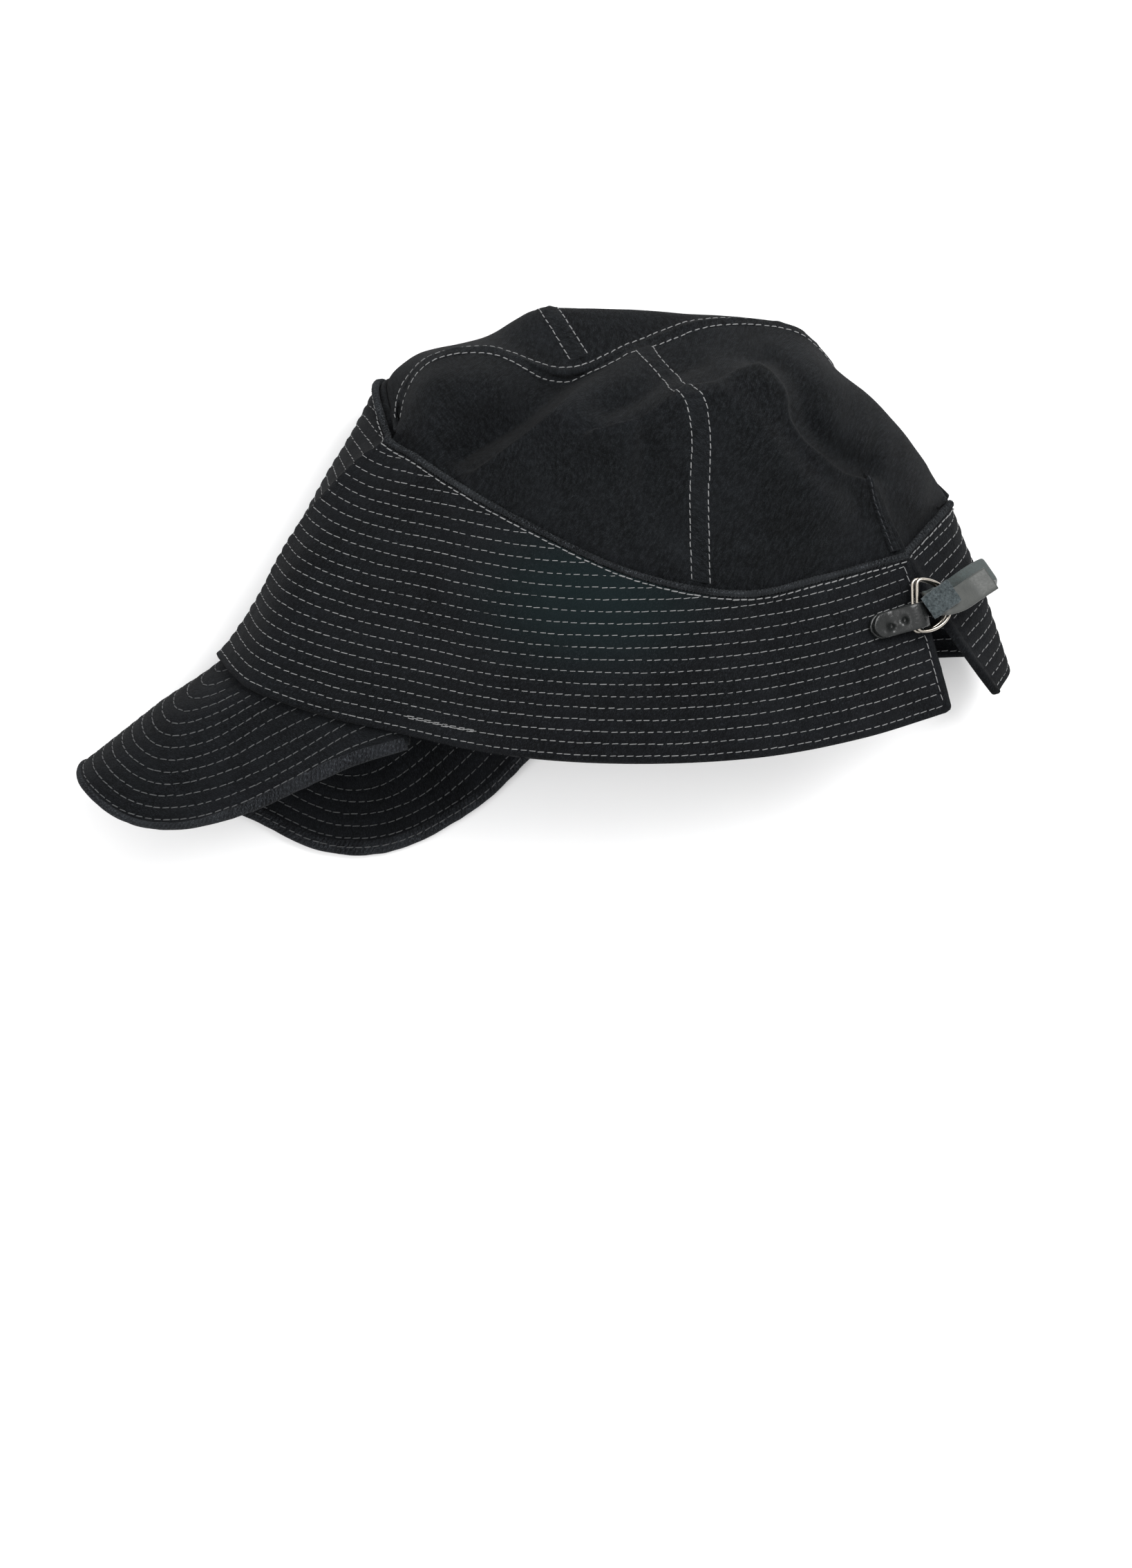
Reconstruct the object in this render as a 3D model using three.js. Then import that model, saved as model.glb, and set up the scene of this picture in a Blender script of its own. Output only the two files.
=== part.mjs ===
// A quilted denim work cap lying on its far side, slouched and open at the back.
// Millimetres. +X runs toward the back of the cap, +Y toward its crown, +Z up from the surface it lies on.
// Every cloth piece is a wall of even thickness drawn through a few named sections.
import * as THREE from "three";

// Driving sizes
const BAND_WALL = 3;
const CROWN_WALL = 1.8;
const BILL_WALL = 4;
const GAP = 0.3; // clear space between neighbours
const ROPE_RADIUS = 1.5; // rolled edge along the top of the band
const BINDING_WIDTH = 4;
const BINDING_THICKNESS = 5.2;
const BINDING_CLEAR = 1.2; // the bound edge to the bill's facets
const SEAM_WIDTH = 9.5;
const SEAM_THICKNESS = 1.1;
const SEAM_CLEAR = 0.1;
const FOLD_CLEAR = 0.9; // space under a seam that crosses sharp folds
const SAGITTAL_CLEAR = 0.7; // space under the long seam, where the two sides meet at an angle
const LEATHER = 1.8;
const STRAP_WIDTH = 10.2;
const RING_WIRE_RADIUS = 0.75;
const RING_LENGTH = 14.4; // flat bar to the top of the curve, along the wire's centre
const RING_WIDTH = 20.5;
const RING_CORNER = 2;
const BILL_FOLD_RADIUS = 30;
const BILL_FOLD_HEIGHT = 30; // centre of the fold above the surface
const BILL_RISE = 0.24; // the near lobe's climb away from the fold

const FINISH = {
  crown: { color: 0x1c2024, roughness: 0.92, metalness: 0 },
  seam: { color: 0x22272b, roughness: 0.9, metalness: 0 },
  band: { color: 0x25292d, roughness: 0.9, metalness: 0 },
  rope: { color: 0x3b444b, roughness: 0.9, metalness: 0 },
  bill: { color: 0x24282c, roughness: 0.9, metalness: 0 },
  leather: { color: 0x4a5654, roughness: 0.5, metalness: 0 },
  suede: { color: 0x56666b, roughness: 0.95, metalness: 0 },
  nickel: { color: 0xb9b0a4, roughness: 0.25, metalness: 1 },
};

const point = (x, y, z) => new THREE.Vector3(x, y, z);
const lerp = THREE.MathUtils.lerp;

// Names the columns of a short table, one object for each row.
function table(columns, rows) {
  return rows.map((row) => Object.fromEntries(columns.map((name, i) => [name, row[i]])));
}

// A smooth curve read by section number: 0 is the first point, 1 the second.
function rail(points) {
  const curve = new THREE.CatmullRomCurve3(points, false, "centripetal");
  const last = points.length - 1;
  return (section) => curve.getPoint(THREE.MathUtils.clamp(section / last, 0, 1));
}

// Cloth never sinks below the surface: it flattens there.
function flatten(p, level = 0) {
  p.z = Math.max(p.z, level);
  return p;
}

function sample(surface, us, vs) {
  return us.map((u) => vs.map((v) => surface(u, v)));
}

function steps(from, to, count) {
  return Array.from({ length: count + 1 }, (_, i) => lerp(from, to, i / count));
}

// One outward normal for each point of a grid, averaged from the faces round it.
function gridNormals(grid) {
  const rows = grid.length;
  const cols = grid[0].length;
  const normals = grid.map((row) => row.map(() => point(0, 0, 0)));
  for (let i = 0; i + 1 < rows; i++)
    for (let j = 0; j + 1 < cols; j++) {
      const across = grid[i + 1][j + 1].clone().sub(grid[i][j]);
      const along = grid[i][j + 1].clone().sub(grid[i + 1][j]);
      const face = along.cross(across);
      for (const [a, b] of [[i, j], [i + 1, j], [i, j + 1], [i + 1, j + 1]]) normals[a][b].add(face);
    }
  return normals.map((row) => row.map((n) => n.normalize()));
}

// Joins rings of points, each closed on itself, into one solid with flat ends.
function loft(rings) {
  const size = rings[0].length;
  const positions = rings.flat().flatMap((p) => [p.x, p.y, p.z]);
  const faces = [];
  for (let i = 0; i + 1 < rings.length; i++)
    for (let j = 0; j < size; j++) {
      const a = i * size + j;
      const b = i * size + ((j + 1) % size);
      faces.push(a, b, b + size, a, b + size, a + size);
    }
  const lastRing = (rings.length - 1) * size;
  for (let j = 1; j + 1 < size; j++) {
    faces.push(0, j + 1, j);
    faces.push(lastRing, lastRing + j, lastRing + j + 1);
  }
  const geometry = new THREE.BufferGeometry();
  geometry.setAttribute("position", new THREE.Float32BufferAttribute(positions, 3));
  geometry.setIndex(faces);
  geometry.computeVertexNormals();
  return geometry;
}

// A wall whose outer face passes through the grid; its inner face lies one wall further in.
function wall(grid, thickness) {
  const normals = gridNormals(grid);
  const rows = grid.length;
  const cols = grid[0].length;
  const inner = grid.map((row, i) => row.map((p, j) => p.clone().addScaledVector(normals[i][j], -thickness)));
  const positions = [...grid.flat(), ...inner.flat()].flatMap((p) => [p.x, p.y, p.z]);
  const outerAt = (i, j) => i * cols + j;
  const innerAt = (i, j) => rows * cols + i * cols + j;
  const faces = [];
  const quad = (a, b, c, d) => faces.push(a, b, c, a, c, d);
  for (let i = 0; i + 1 < rows; i++)
    for (let j = 0; j + 1 < cols; j++) {
      quad(outerAt(i, j), outerAt(i, j + 1), outerAt(i + 1, j + 1), outerAt(i + 1, j));
      quad(innerAt(i, j), innerAt(i + 1, j), innerAt(i + 1, j + 1), innerAt(i, j + 1));
    }
  for (let i = 0; i + 1 < rows; i++) {
    quad(outerAt(i, 0), outerAt(i + 1, 0), innerAt(i + 1, 0), innerAt(i, 0));
    quad(outerAt(i + 1, cols - 1), outerAt(i, cols - 1), innerAt(i, cols - 1), innerAt(i + 1, cols - 1));
  }
  for (let j = 0; j + 1 < cols; j++) {
    quad(outerAt(0, j + 1), outerAt(0, j), innerAt(0, j), innerAt(0, j + 1));
    quad(outerAt(rows - 1, j), outerAt(rows - 1, j + 1), innerAt(rows - 1, j + 1), innerAt(rows - 1, j));
  }
  const geometry = new THREE.BufferGeometry();
  geometry.setAttribute("position", new THREE.Float32BufferAttribute(positions, 3));
  geometry.setIndex(faces);
  geometry.computeVertexNormals();
  return geometry;
}

// A round or oval bar along points, with its own half sizes across and through.
function bar(centres, sides, ups, halfWidth, halfHeight, corners) {
  const rings = centres.map((centre, i) =>
    Array.from({ length: corners }, (_, k) => {
      const angle = (2 * Math.PI * k) / corners;
      return centre
        .clone()
        .addScaledVector(sides[i], halfWidth * Math.cos(angle))
        .addScaledVector(ups[i], halfHeight * Math.sin(angle));
    }),
  );
  return loft(rings);
}

// A flat strap along a path, its width always along "across", with round ends.
const BLUNT = 0.45; // the least width of a round end, as a share of the strap
function strap(path, across, width, thickness, count) {
  const curve = new THREE.CatmullRomCurve3(path, false, "centripetal");
  const length = curve.getLength();
  const radius = width / 2;
  const rings = steps(0, 1, count).map((t) => {
    const centre = curve.getPointAt(t);
    const up = across.clone().cross(curve.getTangentAt(t)).normalize();
    const toEnd = Math.min(t, 1 - t) * length;
    const inset = Math.max(0, 1 - toEnd / radius);
    const half = radius * Math.max(BLUNT, Math.sqrt(1 - inset * inset));
    return [[-1, -1], [-1, 1], [1, 1], [1, -1]].map(([w, h]) =>
      centre.clone().addScaledVector(across, w * half).addScaledVector(up, (h * thickness) / 2),
    );
  });
  return loft(rings);
}

// BAND: sections from the near end of the slit, round the front, to the far end.
const BAND_SECTIONS = table(
  ["place", "rimX", "rimY", "rimZ", "topX", "topY", "topZ", "belly"],
  [
    ["near_end", 162, -52.3, 64, 143.8, 10.6, 68, 1],
    ["near_back", 126, -63.3, 78, 110, 1.5, 81, 3],
    ["near_rear", 85, -71, 85, 79, -5, 86, 4],
    ["near_mid", 30, -73.5, 86, 36, 2.6, 88, 5],
    ["near_fore", -20, -69.8, 80, -9, 23.4, 87, 5],
    ["near_front", -61, -61, 69.3, -36, 39, 83, 5],
    ["near_crest", -92, -53.4, 63.5, -52, 49.8, 75, 6],
    ["front_near", -118, -43.4, 57.6, -60.8, 56.2, 65, 9],
    ["front_edge", -129, -31.5, 31, -65.8, 77, 42, -1],
    ["front_far", -122, -40, 9, -60, 78, 16, 1],
    ["far_crest", -104, -50, 0.5, -42, 64, 3, 0],
    ["far_front", -62, -58, -1, -15, 46, 0, 0],
    ["far_fore", -10, -55, -2, 20, 30, -2, 0],
    ["far_mid", 45, -47, -2, 55, 21, -2, 0],
    ["far_rear", 100, -38, -2, 100, 19, -2, 0],
    ["far_back", 150, -31.5, 0, 140, 25, 1, 0],
    ["far_turn", 175.5, -31, 9, 158.5, 30.5, 16, 1],
    ["far_edge", 185.4, -36, 26, 159.2, 29.8, 38, 1],
    ["far_end", 179.4, -46.6, 42, 144.2, 13.4, 63, 1],
  ],
);
const bandRim = rail(BAND_SECTIONS.map((s) => point(s.rimX, s.rimY, s.rimZ)));
const bandTop = rail(BAND_SECTIONS.map((s) => point(s.topX, s.topY, s.topZ)));
const bandBelly = rail(BAND_SECTIONS.map((s) => point(s.belly, 0, 0)));
const bandSection = Object.fromEntries(BAND_SECTIONS.map((s, i) => [s.place, i]));
const BAND_LAST = BAND_SECTIONS.length - 1;

const BAND_FEEL = 0.05; // sections on each side of a place that its direction is read from
function bandRun(at) {
  const before = bandRim(at - BAND_FEEL).add(bandTop(at - BAND_FEEL));
  const after = bandRim(at + BAND_FEEL).add(bandTop(at + BAND_FEEL));
  return after.sub(before).normalize();
}

// The way out of the cloth where the band is read, square to its run and its rise.
function bandOut(at) {
  const rise = bandTop(at).sub(bandRim(at));
  return rise.cross(bandRun(at)).normalize();
}

const bandHeight = (at) => bandTop(at).distanceTo(bandRim(at));

// The rim turns out where the folded bill pushes it: centre and half span in sections, then millimetres.
const FRONT_FLARE = { at: bandSection.front_edge, span: 0.8, out: 3.5, up: 10 };
const END_SWEEP = 7; // the far end's edge bows this far toward the near end

// The band's outer face, "up" millimetres above the rim and "deep" millimetres inside it.
function bandPoint(at, up, deep = 0) {
  const share = up / bandHeight(at);
  const middle = 4 * share * (1 - share); // 1 half way up, 0 at the rim and the top
  const away = (at - FRONT_FLARE.at) / FRONT_FLARE.span;
  const flare = FRONT_FLARE.out * Math.exp(-away * away - up / FRONT_FLARE.up);
  const sweep = END_SWEEP * middle * THREE.MathUtils.smoothstep(at, BAND_LAST - 1, BAND_LAST);
  const p = bandRim(at).lerp(bandTop(at), share);
  p.addScaledVector(bandOut(at), bandBelly(at).x * middle + flare).addScaledVector(bandRun(at), sweep);
  return flatten(p).addScaledVector(bandOut(at), -deep);
}

function makeBand() {
  const surface = (at, share) => bandPoint(at, share * (bandHeight(at) - 2 * ROPE_RADIUS - GAP));
  return wall(sample(surface, steps(0, BAND_LAST, 4 * BAND_LAST), steps(0, 1, 6)), BAND_WALL);
}

const ROPE_SINK = 0.6; // the rolled edge sits this far inside the band's outer face
const ROPE_END = 0.02; // sections it stops short of the band's ends
function makeRope() {
  const places = steps(ROPE_END, BAND_LAST - ROPE_END, 4 * BAND_LAST);
  const centres = places.map((at) => {
    const p = bandPoint(at, bandHeight(at) - ROPE_RADIUS, ROPE_SINK);
    p.z = Math.max(p.z, ROPE_RADIUS + GAP);
    return p;
  });
  const ups = places.map((at) => bandTop(at).sub(bandRim(at)).normalize());
  const sides = places.map((at) => bandOut(at));
  return bar(centres, sides, ups, ROPE_RADIUS, ROPE_RADIUS, 6);
}

// CROWN: sections from the front to the back. Each starts on the band, "bandAt" sections along it.
const NEAR_SECTIONS = table(
  ["place", "bandAt", "lowX", "lowY", "lowZ", "highX", "highY", "highZ", "seamX", "seamY", "seamZ"],
  [
    ["front", 7, -59.5, 57.5, 61.5, -58.5, 59, 60.5, -57.5, 60.5, 59.5],
    ["brow", 6.2, -51, 59, 74, -53, 68, 68, -55.5, 75, 54],
    ["forehead", 5.2, -38, 58, 83, -44, 76, 76, -46, 87, 58],
    ["fore", 4.2, -18, 50, 87, -24, 74, 84, -24, 91, 62],
    ["hollow", 3.6, 12, 38, 88, 2, 64, 84, 9, 80.8, 58],
    ["coronal", 2.4, 61.5, 30, 92, 61.5, 65, 92, 38.5, 92.5, 51],
    ["rear", 1.8, 86, 30, 92, 85, 66, 89, 66, 102.2, 43],
    ["slope", 1.1, 107, 26, 88, 110, 70, 74, 101, 98.6, 32],
    ["dart", 0.12, 126.6, 39.2, 76, 128, 71.5, 50, 119, 78, 22],
    ["corner", 17.5, 148, 30, 56, 149, 48.5, 38, 139, 52.5, 18],
    ["back", 16.6, 159.5, 33, 30, 159, 34, 27, 158.5, 35, 24],
  ],
);
const FAR_SECTIONS = table(
  ["place", "bandAt", "ridgeX", "ridgeY", "ridgeZ", "underX", "underY", "underZ"],
  [
    ["front", 7.2, -59, 62, 57, -59.5, 62, 56],
    ["brow", 8.4, -61, 79, 38, -57, 79, 16],
    ["forehead", 9.6, -51.3, 88.8, 34, -47, 84, 8],
    ["fore", 10.6, -25, 95.3, 34, -20, 84, 2],
    ["hollow", 11.5, -4, 107, 36, 4, 86, -2],
    ["coronal", 12.3, 16, 107.8, 34, 26, 84, -3],
    ["rear", 13.2, 52, 105, 32, 60, 80, -3],
    ["slope", 14, 99, 98, 18, 96, 74, -3],
    ["dart", 14.8, 120, 76, 12, 118, 56, -2],
    ["corner", 15.6, 141, 52, 12, 142, 42, 2],
    ["back", 16.5, 158.5, 34.5, 23, 158.5, 34, 22],
  ],
);
const crownSection = Object.fromEntries(NEAR_SECTIONS.map((s, i) => [s.place, i]));
const CROWN_LAST = NEAR_SECTIONS.length - 1;

// Where the crown is sewn in: just under the band's top, inside its wall. It leaves the band past the rolled edge.
const SEWN_BELOW_TOP = 5;
const SEWN_ABOVE_TOP = 2;
const SEWN_DEPTH = BAND_WALL + GAP + 0.4;
const SEWN_SHARE = 0.12; // of a crown section
const crownEdge = (bandAt) => bandPoint(bandAt, bandHeight(bandAt) - SEWN_BELOW_TOP, SEWN_DEPTH);
const crownExit = (bandAt) => bandPoint(bandAt, bandHeight(bandAt) + SEWN_ABOVE_TOP, SEWN_DEPTH);

const seamRail = rail(NEAR_SECTIONS.map((s) => point(s.seamX, s.seamY, s.seamZ)));
// Near sections run past the slit onto the far end of the band: there the place counts on below zero.
const SLIT_SPAN = 0.2;
const pastSlit = (bandAt) => (bandAt > BAND_LAST / 2 ? bandAt - BAND_LAST - SLIT_SPAN : bandAt);
function acrossSlit(read, place) {
  if (place >= 0) return read(place);
  if (place <= -SLIT_SPAN) return read(BAND_LAST + SLIT_SPAN + place);
  return read(0).lerp(read(BAND_LAST), -place / SLIT_SPAN);
}
const nearAt = rail(NEAR_SECTIONS.map((s) => point(pastSlit(s.bandAt), 0, 0)));
const farAt = rail(FAR_SECTIONS.map((s) => point(s.bandAt, 0, 0)));
const nearLow = rail(NEAR_SECTIONS.map((s) => point(s.lowX, s.lowY, s.lowZ)));
const nearHigh = rail(NEAR_SECTIONS.map((s) => point(s.highX, s.highY, s.highZ)));
const farRidge = rail(FAR_SECTIONS.map((s) => point(s.ridgeX, s.ridgeY, s.ridgeZ)));
const farUnder = rail(FAR_SECTIONS.map((s) => point(s.underX, s.underY, s.underZ)));

// Slouch folds on the near side: a path in plan, how far the cloth drops (minus) or lifts, and its half width.
const FOLDS = table(
  ["name", "lift", "half", "path"],
  [
    ["front_crease", -8, 12, [[26, 88], [8, 73.4], [-6.3, 62.4], [-29, 47]]],
    ["front_billow", 4.5, 12, [[33, 80], [17, 66], [0, 54], [-13, 45]]],
    ["seam_lip", 4.5, 8, [[29, 56], [42, 60], [57, 70], [78, 77]]],
    ["under_lip", -5, 7, [[26, 68], [44, 78], [56, 85], [69, 88]]],
    ["rear_ridge", 4, 8, [[74, 78], [86, 74], [92, 62], [98, 50], [118, 36]]],
    ["rear_valley", -6, 8, [[76, 90], [94, 82], [104, 67], [110, 54], [125, 44]]],
    ["back_billow", 3, 12, [[104, 88], [119, 71], [133, 54]]],
    ["side_ridge", 2.5, 9, [[69, 70], [88, 50], [113, 27]]],
    ["side_valley", -3, 8, [[93, 56], [106, 40], [124, 28]]],
  ],
);

function distanceToPath(x, y, path) {
  let nearest = Infinity;
  for (let i = 0; i + 1 < path.length; i++) {
    const [ax, ay] = path[i];
    const [bx, by] = path[i + 1];
    const along = ((x - ax) * (bx - ax) + (y - ay) * (by - ay)) / ((bx - ax) ** 2 + (by - ay) ** 2);
    const t = THREE.MathUtils.clamp(along, 0, 1);
    nearest = Math.min(nearest, Math.hypot(x - lerp(ax, bx, t), y - lerp(ay, by, t)));
  }
  return nearest;
}

function foldLift(x, y) {
  return FOLDS.reduce((sum, f) => sum + f.lift * Math.exp(-((distanceToPath(x, y, f.path) / f.half) ** 2)), 0);
}

// A crown section from the band (0) to the long seam (1): its first stretch is the part sewn inside the band.
function crownCurve(points, share) {
  const first = 1 / (points.length - 1);
  const past = (share - SEWN_SHARE) / (1 - SEWN_SHARE);
  const t = share < SEWN_SHARE ? (share / SEWN_SHARE) * first : lerp(first, 1, past);
  return new THREE.CatmullRomCurve3(points, false, "centripetal").getPoint(t);
}

// The near half of the crown: "share" runs from the band (0) to the long seam (1).
function nearCrown(at, share) {
  const place = nearAt(at).x;
  const sewn = [acrossSlit(crownEdge, place), acrossSlit(crownExit, place)];
  const p = crownCurve([...sewn, nearLow(at), nearHigh(at), seamRail(at)], share);
  const hold = Math.sin(Math.PI * share) ** 0.7 * Math.sin((Math.PI * at) / CROWN_LAST) ** 0.5; // 0 at each edge
  p.z += foldLift(p.x, p.y) * hold;
  return p;
}

const CROWN_REST = GAP + SEAM_THICKNESS + 2 * SEAM_CLEAR; // the far panels lie on their own seam

// The far half: from the long seam (0), over the ridge, under the cap, to the band (1).
function farCrown(at, share) {
  const sewn = [crownEdge(farAt(at).x), crownExit(farAt(at).x)];
  return flatten(crownCurve([...sewn, farUnder(at), farRidge(at), seamRail(at)], 1 - share), CROWN_REST);
}

const NEAR_ROWS = 14;
const FAR_ROWS = 10;
const SLIT = 0.012; // half the gap between panels, as a share of a section
const CROWN_END = 0.2; // the crown stops this much of a section short of the point where its edges meet
const SEAM_PARTING = 2.5 * GAP; // each side's panels stop this far short of the long seam's line
const CORONAL = crownSection.coronal;
const FAR_CORONAL = 4.25; // the far panels meet a little further forward than the near ones

function makePanel(surface, from, to, nearSide) {
  const rows = nearSide ? NEAR_ROWS : FAR_ROWS;
  const grid = sample(surface, steps(to, from, Math.round(4 * (to - from))), steps(0, 1, rows));
  const [end, next] = nearSide ? [rows, rows - 1] : [0, 1];
  for (const row of grid) row[end].add(row[next].clone().sub(row[end]).setLength(SEAM_PARTING));
  return wall(grid, CROWN_WALL);
}

// A raised strip lying on a surface: "lines" are the points across it at each step along it.
function raisedStrip(lines, clear) {
  const base = gridNormals(lines);
  const lift = GAP + clear + SEAM_THICKNESS;
  return wall(lines.map((row, i) => row.map((p, j) => p.clone().addScaledVector(base[i][j], lift))), SEAM_THICKNESS);
}

// Seams are read at the same shares as the panels they lie on, so that they follow the same facets.
function rowShares({ from, to }, rows) {
  return steps(from, to, to - from).map((row) => row / rows);
}

const CORONAL_ROWS = { near: { from: 2, to: 13 }, far: { from: 1, to: 8 } };
const CROWN_FEEL = 0.1; // how far along or across the crown a seam measures its reach
// A seam along one crown section, "widths" wide at each of the shares.
function sectionSeam(surface, at, shares, widths, clear) {
  const lines = shares.map((share, i) => {
    const reach = surface(at - CROWN_FEEL, share).distanceTo(surface(at + CROWN_FEEL, share)) / (2 * CROWN_FEEL);
    const half = widths[i] / 2 / reach;
    return steps(at - half, at + half, 4).map((place) => surface(place, share));
  });
  return raisedStrip(lines, clear);
}

function makeCoronalSeam(surface, at, shares, clear) {
  const widths = shares.map(() => SEAM_WIDTH);
  return sectionSeam(surface, at, shares, widths, clear);
}

// The dart over the near end of the band: a narrow seam that runs out to a point.
const DART = { from: 2, to: 6, wide: 5.2, narrow: 1.4 };
const DART_CLEAR = 0.3;
function makeDart() {
  const widths = steps(DART.wide, DART.narrow, DART.to - DART.from);
  return sectionSeam(nearCrown, crownSection.dart, rowShares(DART, NEAR_ROWS), widths, DART_CLEAR);
}

const SAGITTAL_END = 0.35; // sections the long seam stops short of each end
const SAGITTAL_REACH = 0.3; // the most of a section that half its width may take
function makeSagittalSeam() {
  const half = SEAM_WIDTH / 2;
  const lines = steps(CROWN_LAST - SAGITTAL_END, SAGITTAL_END, 4 * CROWN_LAST).map((at) => {
    const nearReach = nearCrown(at, 1 - CROWN_FEEL).distanceTo(nearCrown(at, 1)) / CROWN_FEEL;
    const farReach = farCrown(at, 0).distanceTo(farCrown(at, CROWN_FEEL)) / CROWN_FEEL;
    const nearHalf = Math.min(SAGITTAL_REACH, half / nearReach);
    const farHalf = Math.min(SAGITTAL_REACH, half / farReach);
    return [
      nearCrown(at, 1 - nearHalf),
      nearCrown(at, 1 - nearHalf / 2),
      seamRail(at),
      farCrown(at, farHalf / 2),
      farCrown(at, farHalf),
    ];
  });
  return raisedStrip(lines, SAGITTAL_CLEAR);
}

// BILL: a plate folded over by the way the cap lies. In the flat pattern "out" runs from the band
// toward the tip along the fold, and "across" runs from the fold to the near lobe (plus) or the far lobe.
const BILL_ROOT = { x: -132.6, y: -32.5 };
const FOLD_ANGLE = Math.atan2(-41.5, -53);
const foldOut = { x: Math.cos(FOLD_ANGLE), y: Math.sin(FOLD_ANGLE) };
const foldAside = { x: -foldOut.y, y: foldOut.x };
const BILL_SECTIONS = table(
  ["place", "bandAt", "innerOut", "innerAcross", "outerOut", "outerAcross"],
  [
    ["near_tip", 4.85, -40, 82.5, -36.5, 88],
    ["near_side", 5.35, -30.9, 75, 2.5, 79.3],
    ["near_middle", 5.73, -23.7, 66, 30, 72],
    ["near_corner", 6.37, -12.4, 51, 53.5, 60],
    ["near_front", 6.75, -7.1, 42, 67.3, 44],
    ["near_centre", 7.3, -3.7, 26, 71.5, 19],
    ["fold", 8, -2.6, 0, 65.8, -3],
    ["far_centre", 8.9, -5, -27, 57, -25],
    ["far_front", 10, -11.3, -48.5, 43, -51],
    ["far_corner", 10.4, -20, -62.5, 28, -74],
    ["far_middle", 10.75, -32, -76.5, 12.5, -103.5],
    ["far_side", 11.25, -49.5, -92.5, -9, -120.5],
    ["far_flank", 11.75, -69.4, -106, -45, -128],
    ["far_tip", 12.25, -92, -118.5, -86, -126],
  ],
);
const BILL_LAST = BILL_SECTIONS.length - 1;
const billBand = rail(BILL_SECTIONS.map((s) => point(s.bandAt, 0, 0)));
const billInner = rail(BILL_SECTIONS.map((s) => point(s.innerOut, s.innerAcross, 0)));
const billOuter = rail(BILL_SECTIONS.map((s) => point(s.outerOut, s.outerAcross, 0)));

// Lays a point of the flat pattern over the fold.
function foldOver(pattern) {
  const quarter = (BILL_FOLD_RADIUS * Math.PI) / 2;
  const bent = THREE.MathUtils.clamp(pattern.y, -quarter, quarter) / BILL_FOLD_RADIUS;
  const beyond = Math.max(0, Math.abs(pattern.y) - quarter);
  const aside = BILL_FOLD_RADIUS * (1 - Math.cos(bent)) + beyond;
  const rise = pattern.y > 0 ? beyond * BILL_RISE : 0;
  return point(
    BILL_ROOT.x + foldOut.x * pattern.x + foldAside.x * aside,
    BILL_ROOT.y + foldOut.y * pattern.x + foldAside.y * aside,
    BILL_FOLD_HEIGHT + BILL_FOLD_RADIUS * Math.sin(bent) + rise,
  );
}

// The flat pattern's outline, moved in by an inset square to it.
const BILL_FEEL = 0.03; // sections on each side of a place that the outline's direction is read from
function billEdge(at, inset) {
  const run = billOuter(at + BILL_FEEL).sub(billOuter(at - BILL_FEEL)).normalize();
  return billOuter(at).add(point(run.y, -run.x, 0).multiplyScalar(inset));
}

const TUCK = 1.5; // how far the bill reaches up inside the band
const TUCK_HOLD = 6; // it stays inside the band's thickness this far, then eases out to the fold's own surface
const TUCK_EASE = 30;
const TUCK_CLEAR = 1; // between the band's inner face and the bill
function billPoint(at, pattern) {
  const tuckedIn = bandPoint(billBand(at).x, TUCK, BAND_WALL + TUCK_CLEAR);
  const shift = tuckedIn.sub(foldOver(billInner(at)));
  const away = billInner(at).distanceTo(pattern);
  const hold = 1 - THREE.MathUtils.smoothstep(away, TUCK_HOLD, TUCK_EASE);
  return flatten(foldOver(pattern).addScaledVector(shift, hold));
}

function makeBill() {
  const surface = (at, share) => billPoint(at, billInner(at).lerp(billEdge(at, BINDING_WIDTH + BINDING_CLEAR), share));
  return wall(sample(surface, steps(BILL_LAST, 0, 3 * BILL_LAST), steps(0, 1, 6)), BILL_WALL);
}

const BINDING_ENDS = { near: 0.36, far: 0.12 }; // sections the bound edge stops short, clear of the band
function makeBinding() {
  const places = steps(BILL_LAST - BINDING_ENDS.far, BINDING_ENDS.near, 3 * BILL_LAST);
  const across = steps(0.75 * BINDING_WIDTH, 0.25 * BINDING_WIDTH, 2);
  const grid = places.map((at) => across.map((inset) => billPoint(at, billEdge(at, inset))));
  const normals = gridNormals(grid);
  const centres = grid.map((row, i) => row[1].clone().addScaledVector(normals[i][1], -BILL_WALL / 2));
  centres.forEach((p) => (p.z = Math.max(p.z, BINDING_THICKNESS / 2)));
  const last = centres.length - 1;
  const runs = centres.map((_, i) => centres[Math.min(i + 1, last)].clone().sub(centres[Math.max(i - 1, 0)]));
  const sides = centres.map((_, i) => normals[i][1].clone().cross(runs[i]).normalize());
  const ups = centres.map((_, i) => normals[i][1].clone());
  return bar(centres, sides, ups, BINDING_WIDTH / 2, BINDING_THICKNESS / 2, 8);
}

// BACK FASTENING
const TAB_BAR = { at: 0.19, up: 40.7 }; // where the rings' bars cross the near end of the band
const TAB_TURN = 0.27; // the tab's lie in plan
const RING_TURN = 0.02; // the rings' lie in plan
const RING_STACK = 2.3;
const RING_SHIFT = 1;
const RING_CLEAR = 3.5; // lower ring above the band
const RING_RAISE = 4.2; // the rings have slid up along the tab's loop
const RING_BACK = -0.2; // and back along it

const TAB_PLANE = 0.35; // band section whose outward direction the fastening is laid out by

// A direction in plan, laid along the band's face at its near end.
function alongBand(turn) {
  const run = point(Math.cos(turn), Math.sin(turn), 0);
  const out = bandOut(TAB_PLANE);
  return run.addScaledVector(out, -run.dot(out)).normalize();
}

const tabRoot = bandPoint(TAB_BAR.at, TAB_BAR.up);
const tabUp = bandOut(TAB_PLANE);
const tabRun = alongBand(TAB_TURN);
const tabAcross = tabUp.clone().cross(tabRun).normalize();

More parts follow.
